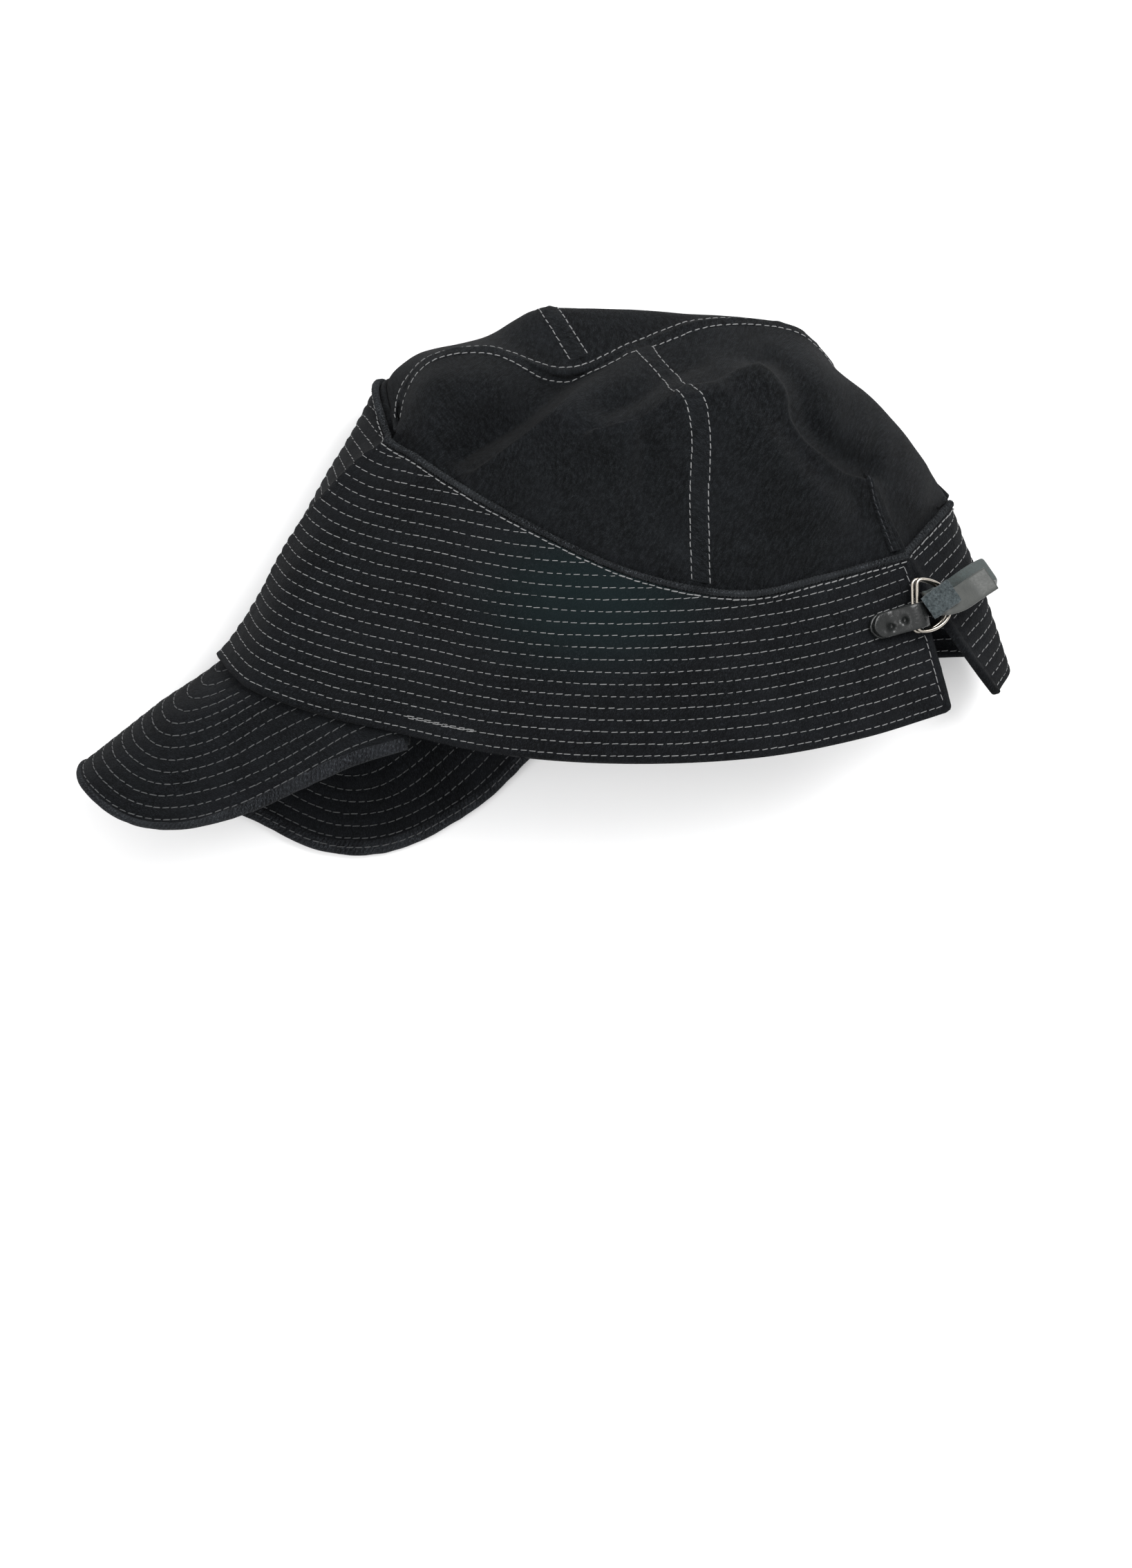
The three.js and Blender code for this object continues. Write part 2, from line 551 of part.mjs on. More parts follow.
// Side view of the tab: out along it from the bars, and up from the band.
const TAB_PATH = table(
  ["out", "up"],
  [
    [-18.5, 2.6],
    [-10, 1.8],
    [0.6, 1.4],
    [2.9, 2.5],
    [3.8, 4.9],
    [2.9, 7.5],
    [0.3, 8.6],
    [-2.7, 8.2],
    [-6.5, 5.8],
    [-9.5, 4],
    [-18.5, 4.7],
  ],
);
function makeTab() {
  const path = TAB_PATH.map((p) => tabRoot.clone().addScaledVector(tabRun, p.out).addScaledVector(tabUp, p.up));
  return strap(path, tabAcross, STRAP_WIDTH, LEATHER, 34);
}

// A D-shaped wire ring, its flat bar at x = 0 and its curve toward +x.
function ringPath() {
  const path = new THREE.CurvePath();
  const halfBar = RING_WIDTH / 2 - RING_CORNER;
  path.add(new THREE.LineCurve3(point(0, -halfBar, 0), point(0, halfBar, 0)));
  const corner = (sign, from, to) =>
    new THREE.CatmullRomCurve3(
      steps(from, to, 4).map((angle) =>
        point(RING_CORNER - RING_CORNER * Math.cos(angle), sign * (halfBar + RING_CORNER * Math.sin(angle)), 0),
      ),
    );
  const reach = RING_LENGTH - RING_CORNER;
  const bow = new THREE.CatmullRomCurve3(
    steps(Math.PI / 2, -Math.PI / 2, 16).map((angle) =>
      point(RING_CORNER + reach * Math.cos(angle), (RING_WIDTH / 2) * Math.sin(angle), 0),
    ),
  );
  path.add(corner(1, 0, Math.PI / 2));
  path.add(bow);
  path.add(corner(-1, Math.PI / 2, 0));
  return path;
}

function makeRing() {
  return new THREE.TubeGeometry(ringPath(), 40, RING_WIRE_RADIUS, 6, true);
}

function placeRing(ring, index) {
  const run = alongBand(RING_TURN);
  const across = tabUp.clone().cross(run).normalize();
  ring.quaternion.setFromRotationMatrix(new THREE.Matrix4().makeBasis(run, across, tabUp));
  ring.position
    .copy(tabRoot)
    .addScaledVector(tabUp, RING_CLEAR + index * RING_STACK)
    .addScaledVector(run, (index - 0.5) * RING_SHIFT + RING_BACK)
    .addScaledVector(across, RING_RAISE);
}

// The strap in plan, with its height above the plane of the tab. Its free end stands off the cap at the back;
// it turns back round the rings' curves and runs under itself to the far side.
const STRAP_PATH = table(
  ["place", "x", "y", "above"],
  [
    ["free_end", 176.4, 0.1, 7.5],
    ["free_run", 170.5, -3.7, 6.9],
    ["over_rings", 162.5, -8.8, 9.3],
    ["turn_top", 155.2, -10.6, 9.5],
    ["turn", 151.9, -9.7, 5],
    ["turn_bottom", 153.8, -9, 0.5],
    ["under_rings", 162, -7.2, 0.2],
    ["under_run", 168, -3, 2.6],
  ],
);
const KEEPER_PATH = table(
  ["place", "x", "y", "above"],
  [
    ["right_end", 161.6, -4.9, 11.1],
    ["middle", 157, -8, 11.5],
    ["left", 153, -10.9, 11.8],
    ["left_curl", 151.2, -12.3, 11],
  ],
);
const STRAP_TURN = 0.61; // the strap's lie in plan
const strapAcross = point(-Math.sin(STRAP_TURN), Math.cos(STRAP_TURN), 0);

// Points given in plan, at heights above the plane that the tab lies in.
function abovePlane(rows) {
  return rows.map((p) => {
    const planeZ = tabRoot.z - (tabUp.x * (p.x - tabRoot.x) + tabUp.y * (p.y - tabRoot.y)) / tabUp.z;
    return point(p.x, p.y, planeZ + p.above);
  });
}

// From under the rings the strap drops past the cap's back to its sewn end on the far end of the band.
const STRAP_DROP = [point(173.8, 1.2, 50), point(176.2, 2.8, 42)];
const STRAP_SEWN = table(
  ["bandAt", "up", "off"],
  [
    [16.8, 36, 1.3],
    [16.5, 35, 1],
  ],
);
function makeStrap() {
  const sewn = STRAP_SEWN.map((p) => bandPoint(p.bandAt, p.up, -LEATHER / 2 - p.off));
  return strap([...abovePlane(STRAP_PATH), ...STRAP_DROP, ...sewn], strapAcross, STRAP_WIDTH, LEATHER, 52);
}

function makeKeeper() {
  return strap(abovePlane(KEEPER_PATH), strapAcross, STRAP_WIDTH, LEATHER, 10);
}

// ASSEMBLY
function finish(kind) {
  return new THREE.MeshStandardMaterial(FINISH[kind]);
}

function add(parent, name, geometry, kind) {
  const mesh = new THREE.Mesh(geometry, finish(kind));
  mesh.name = name;
  parent.add(mesh);
  return mesh;
}

const cap = new THREE.Group();

const crown = new THREE.Group();
add(crown, "crown_front_near", makePanel(nearCrown, CROWN_END, CORONAL - SLIT, true), "crown");
add(crown, "crown_back_near", makePanel(nearCrown, CORONAL + SLIT, CROWN_LAST - CROWN_END, true), "crown");
add(crown, "crown_front_far", makePanel(farCrown, CROWN_END, FAR_CORONAL - SLIT, false), "crown");
add(crown, "crown_back_far", makePanel(farCrown, FAR_CORONAL + SLIT, CROWN_LAST - CROWN_END, false), "crown");
add(crown, "seam_sagittal", makeSagittalSeam(), "seam");
const nearShares = rowShares(CORONAL_ROWS.near, NEAR_ROWS);
const farShares = rowShares(CORONAL_ROWS.far, FAR_ROWS);
add(crown, "seam_coronal_near", makeCoronalSeam(nearCrown, CORONAL, nearShares, FOLD_CLEAR), "seam");
add(crown, "seam_coronal_far", makeCoronalSeam(farCrown, FAR_CORONAL, farShares, SEAM_CLEAR), "seam");
add(crown, "seam_back_dart", makeDart(), "seam");
cap.add(crown);

const band = new THREE.Group();
add(band, "band", makeBand(), "band");
add(band, "band_rope", makeRope(), "rope");
cap.add(band);

const bill = new THREE.Group();
add(bill, "bill", makeBill(), "bill");
add(bill, "bill_binding", makeBinding(), "bill");
cap.add(bill);

const fastening = new THREE.Group();
add(fastening, "tab_leather", makeTab(), "leather");
for (const index of [0, 1]) placeRing(add(fastening, "d_ring_" + (index + 1), makeRing(), "nickel"), index);
add(fastening, "strap_leather", makeStrap(), "leather");
add(fastening, "strap_keeper", makeKeeper(), "suede");
cap.add(fastening);

export default cap;
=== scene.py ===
"""A quilted denim work cap, lying on its far side, dressed over its CAD frame.

Cloth shapes are worked out in millimetres from named sections like those of the CAD part, a few of them
moved by some millimetres. The stitches, ribs, turned edges and small folds are added here. Meshes are made
in metres.
"""
import math

import bmesh
import bpy
import numpy as np
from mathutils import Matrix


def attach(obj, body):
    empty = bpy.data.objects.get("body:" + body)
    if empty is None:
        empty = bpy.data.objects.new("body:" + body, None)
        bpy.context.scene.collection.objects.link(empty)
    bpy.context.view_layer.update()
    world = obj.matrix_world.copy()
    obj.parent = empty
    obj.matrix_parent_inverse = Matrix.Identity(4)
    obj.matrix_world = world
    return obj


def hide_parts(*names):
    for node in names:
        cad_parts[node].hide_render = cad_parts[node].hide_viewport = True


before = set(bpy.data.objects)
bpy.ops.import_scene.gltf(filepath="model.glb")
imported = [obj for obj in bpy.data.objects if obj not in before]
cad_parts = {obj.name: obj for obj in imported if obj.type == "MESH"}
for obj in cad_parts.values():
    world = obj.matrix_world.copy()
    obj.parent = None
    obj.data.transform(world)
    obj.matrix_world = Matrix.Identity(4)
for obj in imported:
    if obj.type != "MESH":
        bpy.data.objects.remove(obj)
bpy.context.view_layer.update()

MM = 0.001
SAME_POINT = 1e-6  # metres within which two points become one

# Driving sizes, as in the CAD part, in millimetres
ROW_PITCH = 4.76  # quilting rows, 3/16 inch apart
BAND_WALL = 3.0
CROWN_WALL = 1.8
BILL_WALL = 4.0
GAP = 0.3  # clearance between pieces
ROPE_RADIUS = 1.5
BINDING_THICKNESS = 5.2
SEAM_WIDTH = 9.5
SEAM_THICKNESS = 1.1
SEAM_CLEAR = 0.1
LEATHER = 1.8
STRAP_WIDTH = 10.2
RING_WIRE_RADIUS = 0.75
RING_LENGTH = 14.4
RING_WIDTH = 20.5
RING_CORNER = 2.0
WIRE_CORNERS = 20
BILL_FOLD_RADIUS = 30.0
BILL_FOLD_HEIGHT = 30.0
BILL_RISE = 0.24  # how steeply the near lobe goes on rising past the fold

# Sewing
STITCH_PITCH = 3.55
STITCH_LENGTH = 2.9
STITCH_RADIUS = 0.18
STITCH_LEAN = 0.15  # each end of a stitch lies this far off its row
STITCH_SPREAD = {"start": 0.12, "length": 0.07, "lean": 0.07, "aside": 0.07, "fat": 0.08}
# Along one stitch: how high it stands over the cloth and how thick it is, in its own radii
STITCH_FORM = {"place": (0, 0.15, 0.85, 1), "height": (-0.5, 0.7, 0.7, -0.5), "fat": (0.7, 1.05, 1.05, 0.7)}
STITCH_FLAT = 0.8  # its thickness as a share of its width
EDGE_SEWING = {"pitch": 3.1, "length": 2.5, "radius": 0.26}
SEAM_SEWING = {"pitch": 3.2, "length": 2.4, "radius": 0.22}
BILL_SEWING = {"radius": 0.24}
SHORTEST_SEAM = 1.5  # a row shorter than this many stitches isn't sewn
HIDDEN_CORNERS = 4  # a stitch that hardly shows has fewer corners round it
RIB_DEPTH = 0.5  # the cloth sinks this far along a stitched row
RIM_ROW = 3.0  # first row above the rim
ROWS_WANDER = 0.45
TRUE_BELOW = 6.0  # the rows stray less near the rim than above this
RIB_FULLNESS = 2.4
END_COLUMN = 3.6  # the rows stop here, short of the near end
FAR_ROLL = 4.4  # width of the rolled edge at the far end
CORNER = 3.0  # round corners of the band's ends

rng = np.random.default_rng(11)


def table(columns, rows):
    """Names the columns of a short table, one dictionary for each row."""
    names = columns.split()
    return [dict(zip(names, row)) for row in rows]


def column(rows, *names):
    return np.array([[row[name] for name in names] for row in rows], float)


SHORTEST = 1e-9  # keeps a direction without length from dividing by nothing


def unit(vectors):
    length = np.linalg.norm(vectors, axis=-1, keepdims=True)
    return vectors / np.maximum(length, SHORTEST)


def smoothstep(value, low, high):
    t = np.clip((value - low) / (high - low), 0, 1)
    return t * t * (3 - 2 * t)


SAME_KNOT = 1e-4  # controls whose knots are closer than this are one


def spline(controls, section):
    """Centripetal Catmull-Rom curves: controls is (count, ..., 3), section runs from 0 to count - 1."""
    count = len(controls)
    first = 2 * controls[0] - controls[1]
    last = 2 * controls[-1] - controls[-2]
    padded = np.concatenate([first[None], controls, last[None]])
    section = np.clip(section, 0, count - 1)
    start = np.minimum(section.astype(int), count - 2)
    t = (section - start)[..., None]
    if controls.ndim == 2:
        p0, p1, p2, p3 = (padded[start + k] for k in range(4))
    else:
        pick = start[None, ..., None]
        p0, p1, p2, p3 = (np.take_along_axis(padded, pick + k, axis=0)[0] for k in range(4))

    def knot(a, b):
        return np.sum((a - b) ** 2, axis=-1, keepdims=True) ** 0.25

    def spaced(distance, otherwise):
        return np.where(distance < SAME_KNOT, otherwise, distance)

    d1 = spaced(knot(p1, p2), 1.0)
    d0 = spaced(knot(p0, p1), d1)
    d2 = spaced(knot(p2, p3), d1)
    m1 = ((p1 - p0) / d0 - (p2 - p0) / (d0 + d1) + (p2 - p1) / d1) * d1
    m2 = ((p2 - p1) / d1 - (p3 - p1) / (d1 + d2) + (p3 - p2) / d2) * d1
    c2 = -3 * p1 + 3 * p2 - 2 * m1 - m2
    c3 = 2 * p1 - 2 * p2 + m1 + m2
    return p1 + m1 * t + c2 * t**2 + c3 * t**3


def rail(points):
    """A smooth curve read by section number: 0 is the first point, 1 the second."""
    controls = np.asarray(points, float)
    return lambda section: spline(controls, np.asarray(section, float))


def flatten(p, level=0.0):
    p[..., 2] = np.maximum(p[..., 2], level)
    return p


def run_along(points):
    """How far each point of a path is from its start."""
    return np.concatenate([[0], np.cumsum(np.linalg.norm(np.diff(points, axis=0), axis=1))])


def read_at(at, distance, values):
    """Points or directions along a path, read at given distances from its start."""
    return np.stack([np.interp(at, distance, values[:, k]) for k in range(3)], -1)


def evened(values, passes, axis=0):
    """A grid or path with the bends along one of its axes taken out."""
    values = np.moveaxis(values, axis, 0)
    for _ in range(passes):
        middle = (values[:-2] + 2 * values[1:-1] + values[2:]) / 4
        values = np.concatenate([values[:1], middle, values[-1:]])
    return np.moveaxis(values, 0, axis)


NOISE_SIZE = 64
noise_lattice = rng.random((NOISE_SIZE, NOISE_SIZE)) * 2 - 1


def noise(u, v, seed):
    """Smooth noise from -1 to 1, one bump for each unit of u and v."""
    u, v = np.broadcast_arrays(np.asarray(u, float) + 13.7 * seed, np.asarray(v, float) + 7.3 * seed)
    iu = np.floor(u).astype(int)
    iv = np.floor(v).astype(int)
    fu = smoothstep(u - iu, 0, 1)
    fv = smoothstep(v - iv, 0, 1)

    def at(a, b):
        return noise_lattice[a % NOISE_SIZE, b % NOISE_SIZE]

    low = at(iu, iv) * (1 - fu) + at(iu + 1, iv) * fu
    high = at(iu, iv + 1) * (1 - fu) + at(iu + 1, iv + 1) * fu
    return low * (1 - fv) + high * fv


# Layers of unevenness: how far each goes, how long it is along and up the cloth, and which noise it reads
BAND_WANDER = [(0.6, 55, 26, 3), (0.3, 19, 5.5, 5)]
BAND_SLACK = [(0.22, 4.2, 2.4, 7)]
BAND_BROAD = [(0.7, 34, 30, 1), (0.35, 13, 16, 2)]
CROWN_SOFT = [(0.5, 17, 21, 8), (0.22, 7, 8, 9)]
BILL_WANDER = [(0.35, 22, 22, 21)]
BILL_SLACK = [(0.14, 3.4, 3.4, 22)]


def uneven_by(layers, along, up):
    return sum(far * noise(along / length, up / height, seed) for far, length, height, seed in layers)


NO_LENGTH = 1e-7  # a sum of face normals shorter than this has no direction


def grid_normals(grid):
    """One outward normal for each point of a grid, averaged from the faces round it."""
    across = grid[1:, 1:] - grid[:-1, :-1]
    along = grid[:-1, 1:] - grid[1:, :-1]
    face = np.cross(along, across)
    normals = np.zeros_like(grid)
    normals[:-1, :-1] += face
    normals[1:, :-1] += face
    normals[:-1, 1:] += face
    normals[1:, 1:] += face
    length = np.linalg.norm(normals, axis=-1)
    for j in range(1, grid.shape[1]):  # a column that has run out keeps the last real normal
        empty = length[:, j] < NO_LENGTH
        normals[empty, j] = normals[empty, j - 1]
        length[empty, j] = length[empty, j - 1]
    return unit(normals)


def add_attribute(mesh, name, kind, key, values):
    attribute = mesh.attributes.new(name, kind, "POINT")
    attribute.data.foreach_set(key, values.astype(np.float32).ravel())


def add_object(name, data):
    thing = bpy.data.objects.new(name, data)
    bpy.context.scene.collection.objects.link(thing)
    return thing


def flat_cloth(u, v):
    """Cloth coordinates of denim, which reads no third one."""
    return np.stack(np.broadcast_arrays(u, v, 0.0), -1)


def make_object(name, vertices, faces, cloth, tint=None):
    """A mesh object from points in millimetres, with its cloth coordinates as attributes."""
    mesh = bpy.data.meshes.new(name)
    mesh.from_pydata((np.asarray(vertices) * MM).tolist(), [], faces)
    add_attribute(mesh, "cloth", "FLOAT_VECTOR", "vector", cloth)
    if tint is not None:
        add_attribute(mesh, "tint", "FLOAT", "value", tint)
    work = bmesh.new()
    work.from_mesh(mesh)
    bmesh.ops.remove_doubles(work, verts=work.verts, dist=SAME_POINT)
    work.to_mesh(mesh)
    work.free()
    mesh.polygons.foreach_set("use_smooth", [True] * len(mesh.polygons))
    mesh.update()
    return add_object(name, mesh)


def grid_faces(rows, cols, first=0, flip=False):
    i, j = np.meshgrid(np.arange(rows - 1), np.arange(cols - 1), indexing="ij")
    a = first + i * cols + j
    corners = [a, a + 1, a + cols + 1, a + cols]
    if flip:
        corners.reverse()
    return np.stack(corners, -1).reshape(-1, 4)


def shell(name, outer, inner, cloth, tint=None, step=(1, 1)):
    """A closed wall between two grids. The inner one may be coarser by whole steps."""
    step_i, step_j = step
    rows, cols = outer.shape[:2]
    coarse = inner[::step_i, ::step_j]
    coarse_rows, coarse_cols = coarse.shape[:2]
    base = rows * cols
    faces = grid_faces(rows, cols).tolist() + grid_faces(coarse_rows, coarse_cols, base, flip=True).tolist()

    def out(i, j):
        return i * cols + j

    def back(i, j):
        return base + i * coarse_cols + j

    for i in range(coarse_rows - 1):
        near = [out(i * step_i + k, 0) for k in range(step_i + 1)]
        far = [out(i * step_i + k, cols - 1) for k in range(step_i + 1)]
        faces.append(near + [back(i + 1, 0), back(i, 0)])
        faces.append(far[::-1] + [back(i, coarse_cols - 1), back(i + 1, coarse_cols - 1)])
    for j in range(coarse_cols - 1):
        near = [out(0, j * step_j + k) for k in range(step_j + 1)]
        far = [out(rows - 1, j * step_j + k) for k in range(step_j + 1)]
        faces.append(near[::-1] + [back(0, j), back(0, j + 1)])
        faces.append(far + [back(coarse_rows - 1, j + 1), back(coarse_rows - 1, j)])
    vertices = np.concatenate([outer.reshape(-1, 3), coarse.reshape(-1, 3)])
    coordinates = np.concatenate([cloth.reshape(-1, 3), cloth[::step_i, ::step_j].reshape(-1, 3)])
    shade = None if tint is None else np.concatenate([tint.ravel(), tint[::step_i, ::step_j].ravel()])
    return make_object(name, vertices, faces, coordinates, shade)


TONES = 97  # stitches differ in tone, and after this many the tones come again


def tubes(name, centres, sides, ups, half_widths, half_heights, corners, closed=False, along=None):
    """Many tubes in one mesh: centres is (tubes, rings, 3), and each tube is capped flat at each end unless
    closed.
    """
    count, rings = centres.shape[:2]
    angle = 2 * np.pi * np.arange(corners) / corners
    cos, sin = np.cos(angle)[:, None], np.sin(angle)[:, None]
    width = np.broadcast_to(half_widths, (count, rings))[..., None, None]
    height = np.broadcast_to(half_heights, (count, rings))[..., None, None]
    ring = centres[:, :, None] + sides[:, :, None] * cos * width + ups[:, :, None] * sin * height
    vertices = ring.reshape(-1, 3)
    start = (np.arange(count) * rings * corners)[:, None, None]
    i = np.arange(rings if closed else rings - 1)[None, :, None]
    j = np.arange(corners)[None, None, :]
    here = start + i * corners
    ahead = start + (i + 1) % rings * corners
    turned = (j + 1) % corners
    faces = np.stack([here + j, here + turned, ahead + turned, ahead + j], -1).reshape(-1, 4).tolist()
    if not closed:
        for t in range(count):
            base = t * rings * corners
            faces.append([base + k for k in reversed(range(corners))])
            faces.append([base + (rings - 1) * corners + k for k in range(corners)])
    if along is None:
        step_lengths = np.linalg.norm(np.diff(centres, axis=1), axis=-1)
        along = np.concatenate([np.zeros((count, 1)), np.cumsum(step_lengths, axis=1)], axis=1)
    around = np.arange(corners) / corners
    cloth = np.zeros((count, rings, corners, 3))
    cloth[..., 0] = along[..., None]
    cloth[..., 1] = around * 2 * np.pi * np.mean(half_widths)
    cloth[..., 2] = (np.arange(count) % TONES / TONES)[:, None, None]
    return make_object(name, vertices, faces, cloth.reshape(-1, 3))


def one_tube(name, centres, sides, ups, half_widths, half_heights, corners):
    single = (part[None] for part in (centres, sides, ups, half_widths, half_heights))
    return tubes(name, *single, corners)


def frames_along(centres, normals):
    """Side directions for a path, square to its run and to the cloth's normals."""
    run = np.gradient(centres, axis=-2)
    return unit(np.cross(normals, run))


def stitches(
    name, rows, material, pitch=STITCH_PITCH, length=STITCH_LENGTH, radius=STITCH_RADIUS, corners=5,
):
    """Sewn thread: each row is (points, normals) along the cloth, and becomes separate short stitches."""
    places, profile, taper = (np.array(STITCH_FORM[part]) for part in ("place", "height", "fat"))
    profile = profile * radius
    ends = np.linspace(-1, 1, len(places))[None, :, None]
    all_centres, all_normals = [], []
    for points, normals in rows:
        distance = run_along(points)
        if distance[-1] < SHORTEST_SEAM * pitch:
            continue
        starts = np.arange(rng.random() * pitch * 0.5, distance[-1] - length, pitch)
        starts = starts + rng.normal(0, STITCH_SPREAD["start"], len(starts))
        spans = length * (1 + rng.normal(0, STITCH_SPREAD["length"], len(starts)))
        at = starts[:, None] + spans[:, None] * places
        centres = read_at(at, distance, points)
        up = unit(read_at(at, distance, normals))
        side = frames_along(centres, up)
        lean = rng.normal(STITCH_LEAN, STITCH_SPREAD["lean"], (len(starts), 1, 1)) * ends
        aside = rng.normal(0, STITCH_SPREAD["aside"], (len(starts), 1, 1))
        centres = centres + side * (lean + aside) + up * profile[:, None]
        all_centres.append(centres)
        all_normals.append(up)
    centres = np.concatenate(all_centres)
    ups = np.concatenate(all_normals)
    sides = frames_along(centres, ups)
    fat = 1 + rng.normal(0, STITCH_SPREAD["fat"], (len(centres), 1))
    centres = flatten(centres, radius)
    half_widths = radius * taper * fat
    dress(tubes(name, centres, sides, ups, half_widths, STITCH_FLAT * half_widths, corners), material)


def dress(piece, material, replaces=()):
    piece.data.materials.clear()
    piece.data.materials.append(material)
    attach(piece, "root")
    if replaces:
        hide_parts(*replaces)


# Materials


class Nodes:
    """A short way to write a material's nodes."""

    def __init__(self, name):
        self.material = bpy.data.materials.new(name)
        self.material.use_nodes = True
        self.tree = self.material.node_tree
        self.tree.nodes.clear()
        self.output = self.tree.nodes.new("ShaderNodeOutputMaterial")
        self.surface = self.tree.nodes.new("ShaderNodeBsdfPrincipled")
        self.tree.links.new(self.surface.outputs[0], self.output.inputs[0])

    def put(self, socket, value):
        if isinstance(value, bpy.types.NodeSocket):
            self.tree.links.new(value, socket)
        elif value is not None:
            socket.default_value = value

    def attribute(self, name, vector=False):
        node = self.tree.nodes.new("ShaderNodeAttribute")
        node.attribute_name = name
        return node.outputs["Vector" if vector else "Fac"]

    def place(self):
        return self.tree.nodes.new("ShaderNodeTexCoord").outputs["Object"]

    def split(self, vector):
        node = self.tree.nodes.new("ShaderNodeSeparateXYZ")
        self.put(node.inputs[0], vector)
        return node.outputs

    def join(self, x, y, z=0.0):
        node = self.tree.nodes.new("ShaderNodeCombineXYZ")
        for socket, value in zip(node.inputs, (x, y, z)):
            self.put(socket, value)
        return node.outputs[0]

    def math(self, operation, a, b=None):
        node = self.tree.nodes.new("ShaderNodeMath")
        node.operation = operation
        self.put(node.inputs[0], a)
        self.put(node.inputs[1], b)
        return node.outputs[0]

    def plus(self, a, b):
        return self.math("ADD", a, b)

    def times(self, a, b):
        return self.math("MULTIPLY", a, b)

    def waves(self, value, length):
        return self.math("SINE", self.times(value, 2 * math.pi / length))

    def noise(self, vector, scale, detail=2.0, roughness=0.5):
        node = self.tree.nodes.new("ShaderNodeTexNoise")
        self.put(node.inputs["Vector"], vector)
        node.inputs["Scale"].default_value = scale
        node.inputs["Detail"].default_value = detail
        node.inputs["Roughness"].default_value = roughness
        return node.outputs["Fac"]

    def stretch(self, value, low, high, to_low=0.0, to_high=1.0):
        node = self.tree.nodes.new("ShaderNodeMapRange")
        for socket, number in zip(node.inputs, (value, low, high, to_low, to_high)):
            self.put(socket, number)
        return node.outputs[0]

    def mix(self, share, a, b):
        node = self.tree.nodes.new("ShaderNodeMix")
        node.data_type = "RGBA"
        self.put(node.inputs["Factor"], share)
        self.put(node.inputs[6], a)
        self.put(node.inputs[7], b)
        return node.outputs[2]

    def bump(self, height, strength, distance):
        node = self.tree.nodes.new("ShaderNodeBump")
        node.inputs["Strength"].default_value = strength
        node.inputs["Distance"].default_value = distance
        self.put(node.inputs["Height"], height)
        return node.outputs[0]

    def finish(self, **values):
        for name, value in values.items():
            self.put(self.surface.inputs[name.replace("_", " ")], value)
        return self.material


# The lights are bright enough to turn the surface white, so every piece is this much darker than it looks.
HELD_DOWN = 0.45


def colour(red, green, blue):
    """A piece's colour from the value that it shows on the screen, 0 to 255."""

    def linear(value):
        share = value / 255
        return share / 12.92 if share <= 0.04045 else ((share + 0.055) / 1.055) ** 2.4

    return (*(HELD_DOWN * linear(value) for value in (red, green, blue)), 1.0)


TWILL_PITCH = 0.75
TWILL_SLANT = 1.9
FIBRE_WAY = (0.87, 0.5)  # the cosine and sine of the way the pale fibres lie
WEAR = 0.3  # the most that broad fading lightens the cloth
# Noise on denim, as bumps for each millimetre: drawn out along the pale fibres, or the same every way
STREAKS = table(
    "name across along layer detail roughness",
    [
        ("fibres", 3.6, 0.85, 0.0, 2.0, 0.6),
        ("mottle", 1.0, 0.45, 7.0, 3.0, 0.65),
        ("clouds", 0.6, 0.22, 2.0, 3.0, 0.8),
    ],
)
SPOTS = table(
    "name scale layer detail roughness",
    [
        ("grain", 2.6, 5.0, 2.0, 0.75),
        ("patches", 0.16, 3.0, 2.0, 0.5),
        ("fading", 0.045, 9.0, 3.0, 0.55),
    ],
)


def scaled(shade, share):
    """A colour made darker or lighter, and never past white."""
    return (*(min(1.0, share * value) for value in shade[:3]), 1.0)


def denim(
    name, base, pale, flecks=0.6, twill=0.3, mottled=0.55, broad=0.45, pitch=TWILL_PITCH, teal=None,
):
    """Worn black denim in cloth millimetres: twill lines, short pale slanted fibres and broad fading."""
    n = Nodes(name)
    u, v = n.split(n.attribute("cloth", vector=True))[:2]
    cos, sin = FIBRE_WAY
    across = n.plus(n.times(u, cos), n.times(v, sin))
    along = n.math("SUBTRACT", n.times(v, cos), n.times(u, sin))

    def streaks(row):
        place = n.join(n.times(across, row["across"]), n.times(along, row["along"]), row["layer"])
        return n.noise(place, 1.0, row["detail"], row["roughness"])

    def spots(row):
        return n.noise(n.join(u, v, row["layer"]), row["scale"], row["detail"], row["roughness"])

    lines = n.waves(n.plus(u, n.times(v, 1 / TWILL_SLANT)), pitch)
    fibres, mottle, clouds = map(streaks, STREAKS)
    grain, patches, fading = map(spots, SPOTS)
    dark = scaled(base, 0.1)
    shade = n.mix(n.stretch(grain, 0.3, 0.7), dark, scaled(base, 1.6))
    shade = n.mix(n.stretch(mottle, 0.35, 0.65, mottled, 0.0), shade, dark)
    shade = n.mix(n.stretch(clouds, 0.4, 0.6, broad, 0.0), shade, dark)
    shade = n.mix(n.times(n.stretch(lines, -1.0, 1.0), twill), shade, dark)
    worn = n.times(n.stretch(fibres, 0.52, 0.76), n.stretch(patches, 0.3, 0.65, 0.25 * flecks, flecks))
    shade = n.mix(worn, shade, scaled(pale, 2.2))
    shade = n.mix(n.times(n.stretch(fading, 0.35, 0.75), WEAR), shade, pale)
    if teal is not None:
        shade = n.mix(n.attribute("tint"), shade, teal)
    relief = n.plus(n.times(lines, 0.12), n.times(fibres, 0.7))
    relief = n.plus(relief, n.plus(n.times(grain, 0.6), n.times(mottle, 1.2)))
    return n.finish(
        Base_Color=shade,
        Roughness=0.9,
        Specular_IOR_Level=0.03,
        Sheen_Weight=0.02,
        Sheen_Roughness=0.6,
        Normal=n.bump(relief, 0.8, 0.0004),
    )


THREAD_TWIST = {"length": 0.55, "slant": 1.2}


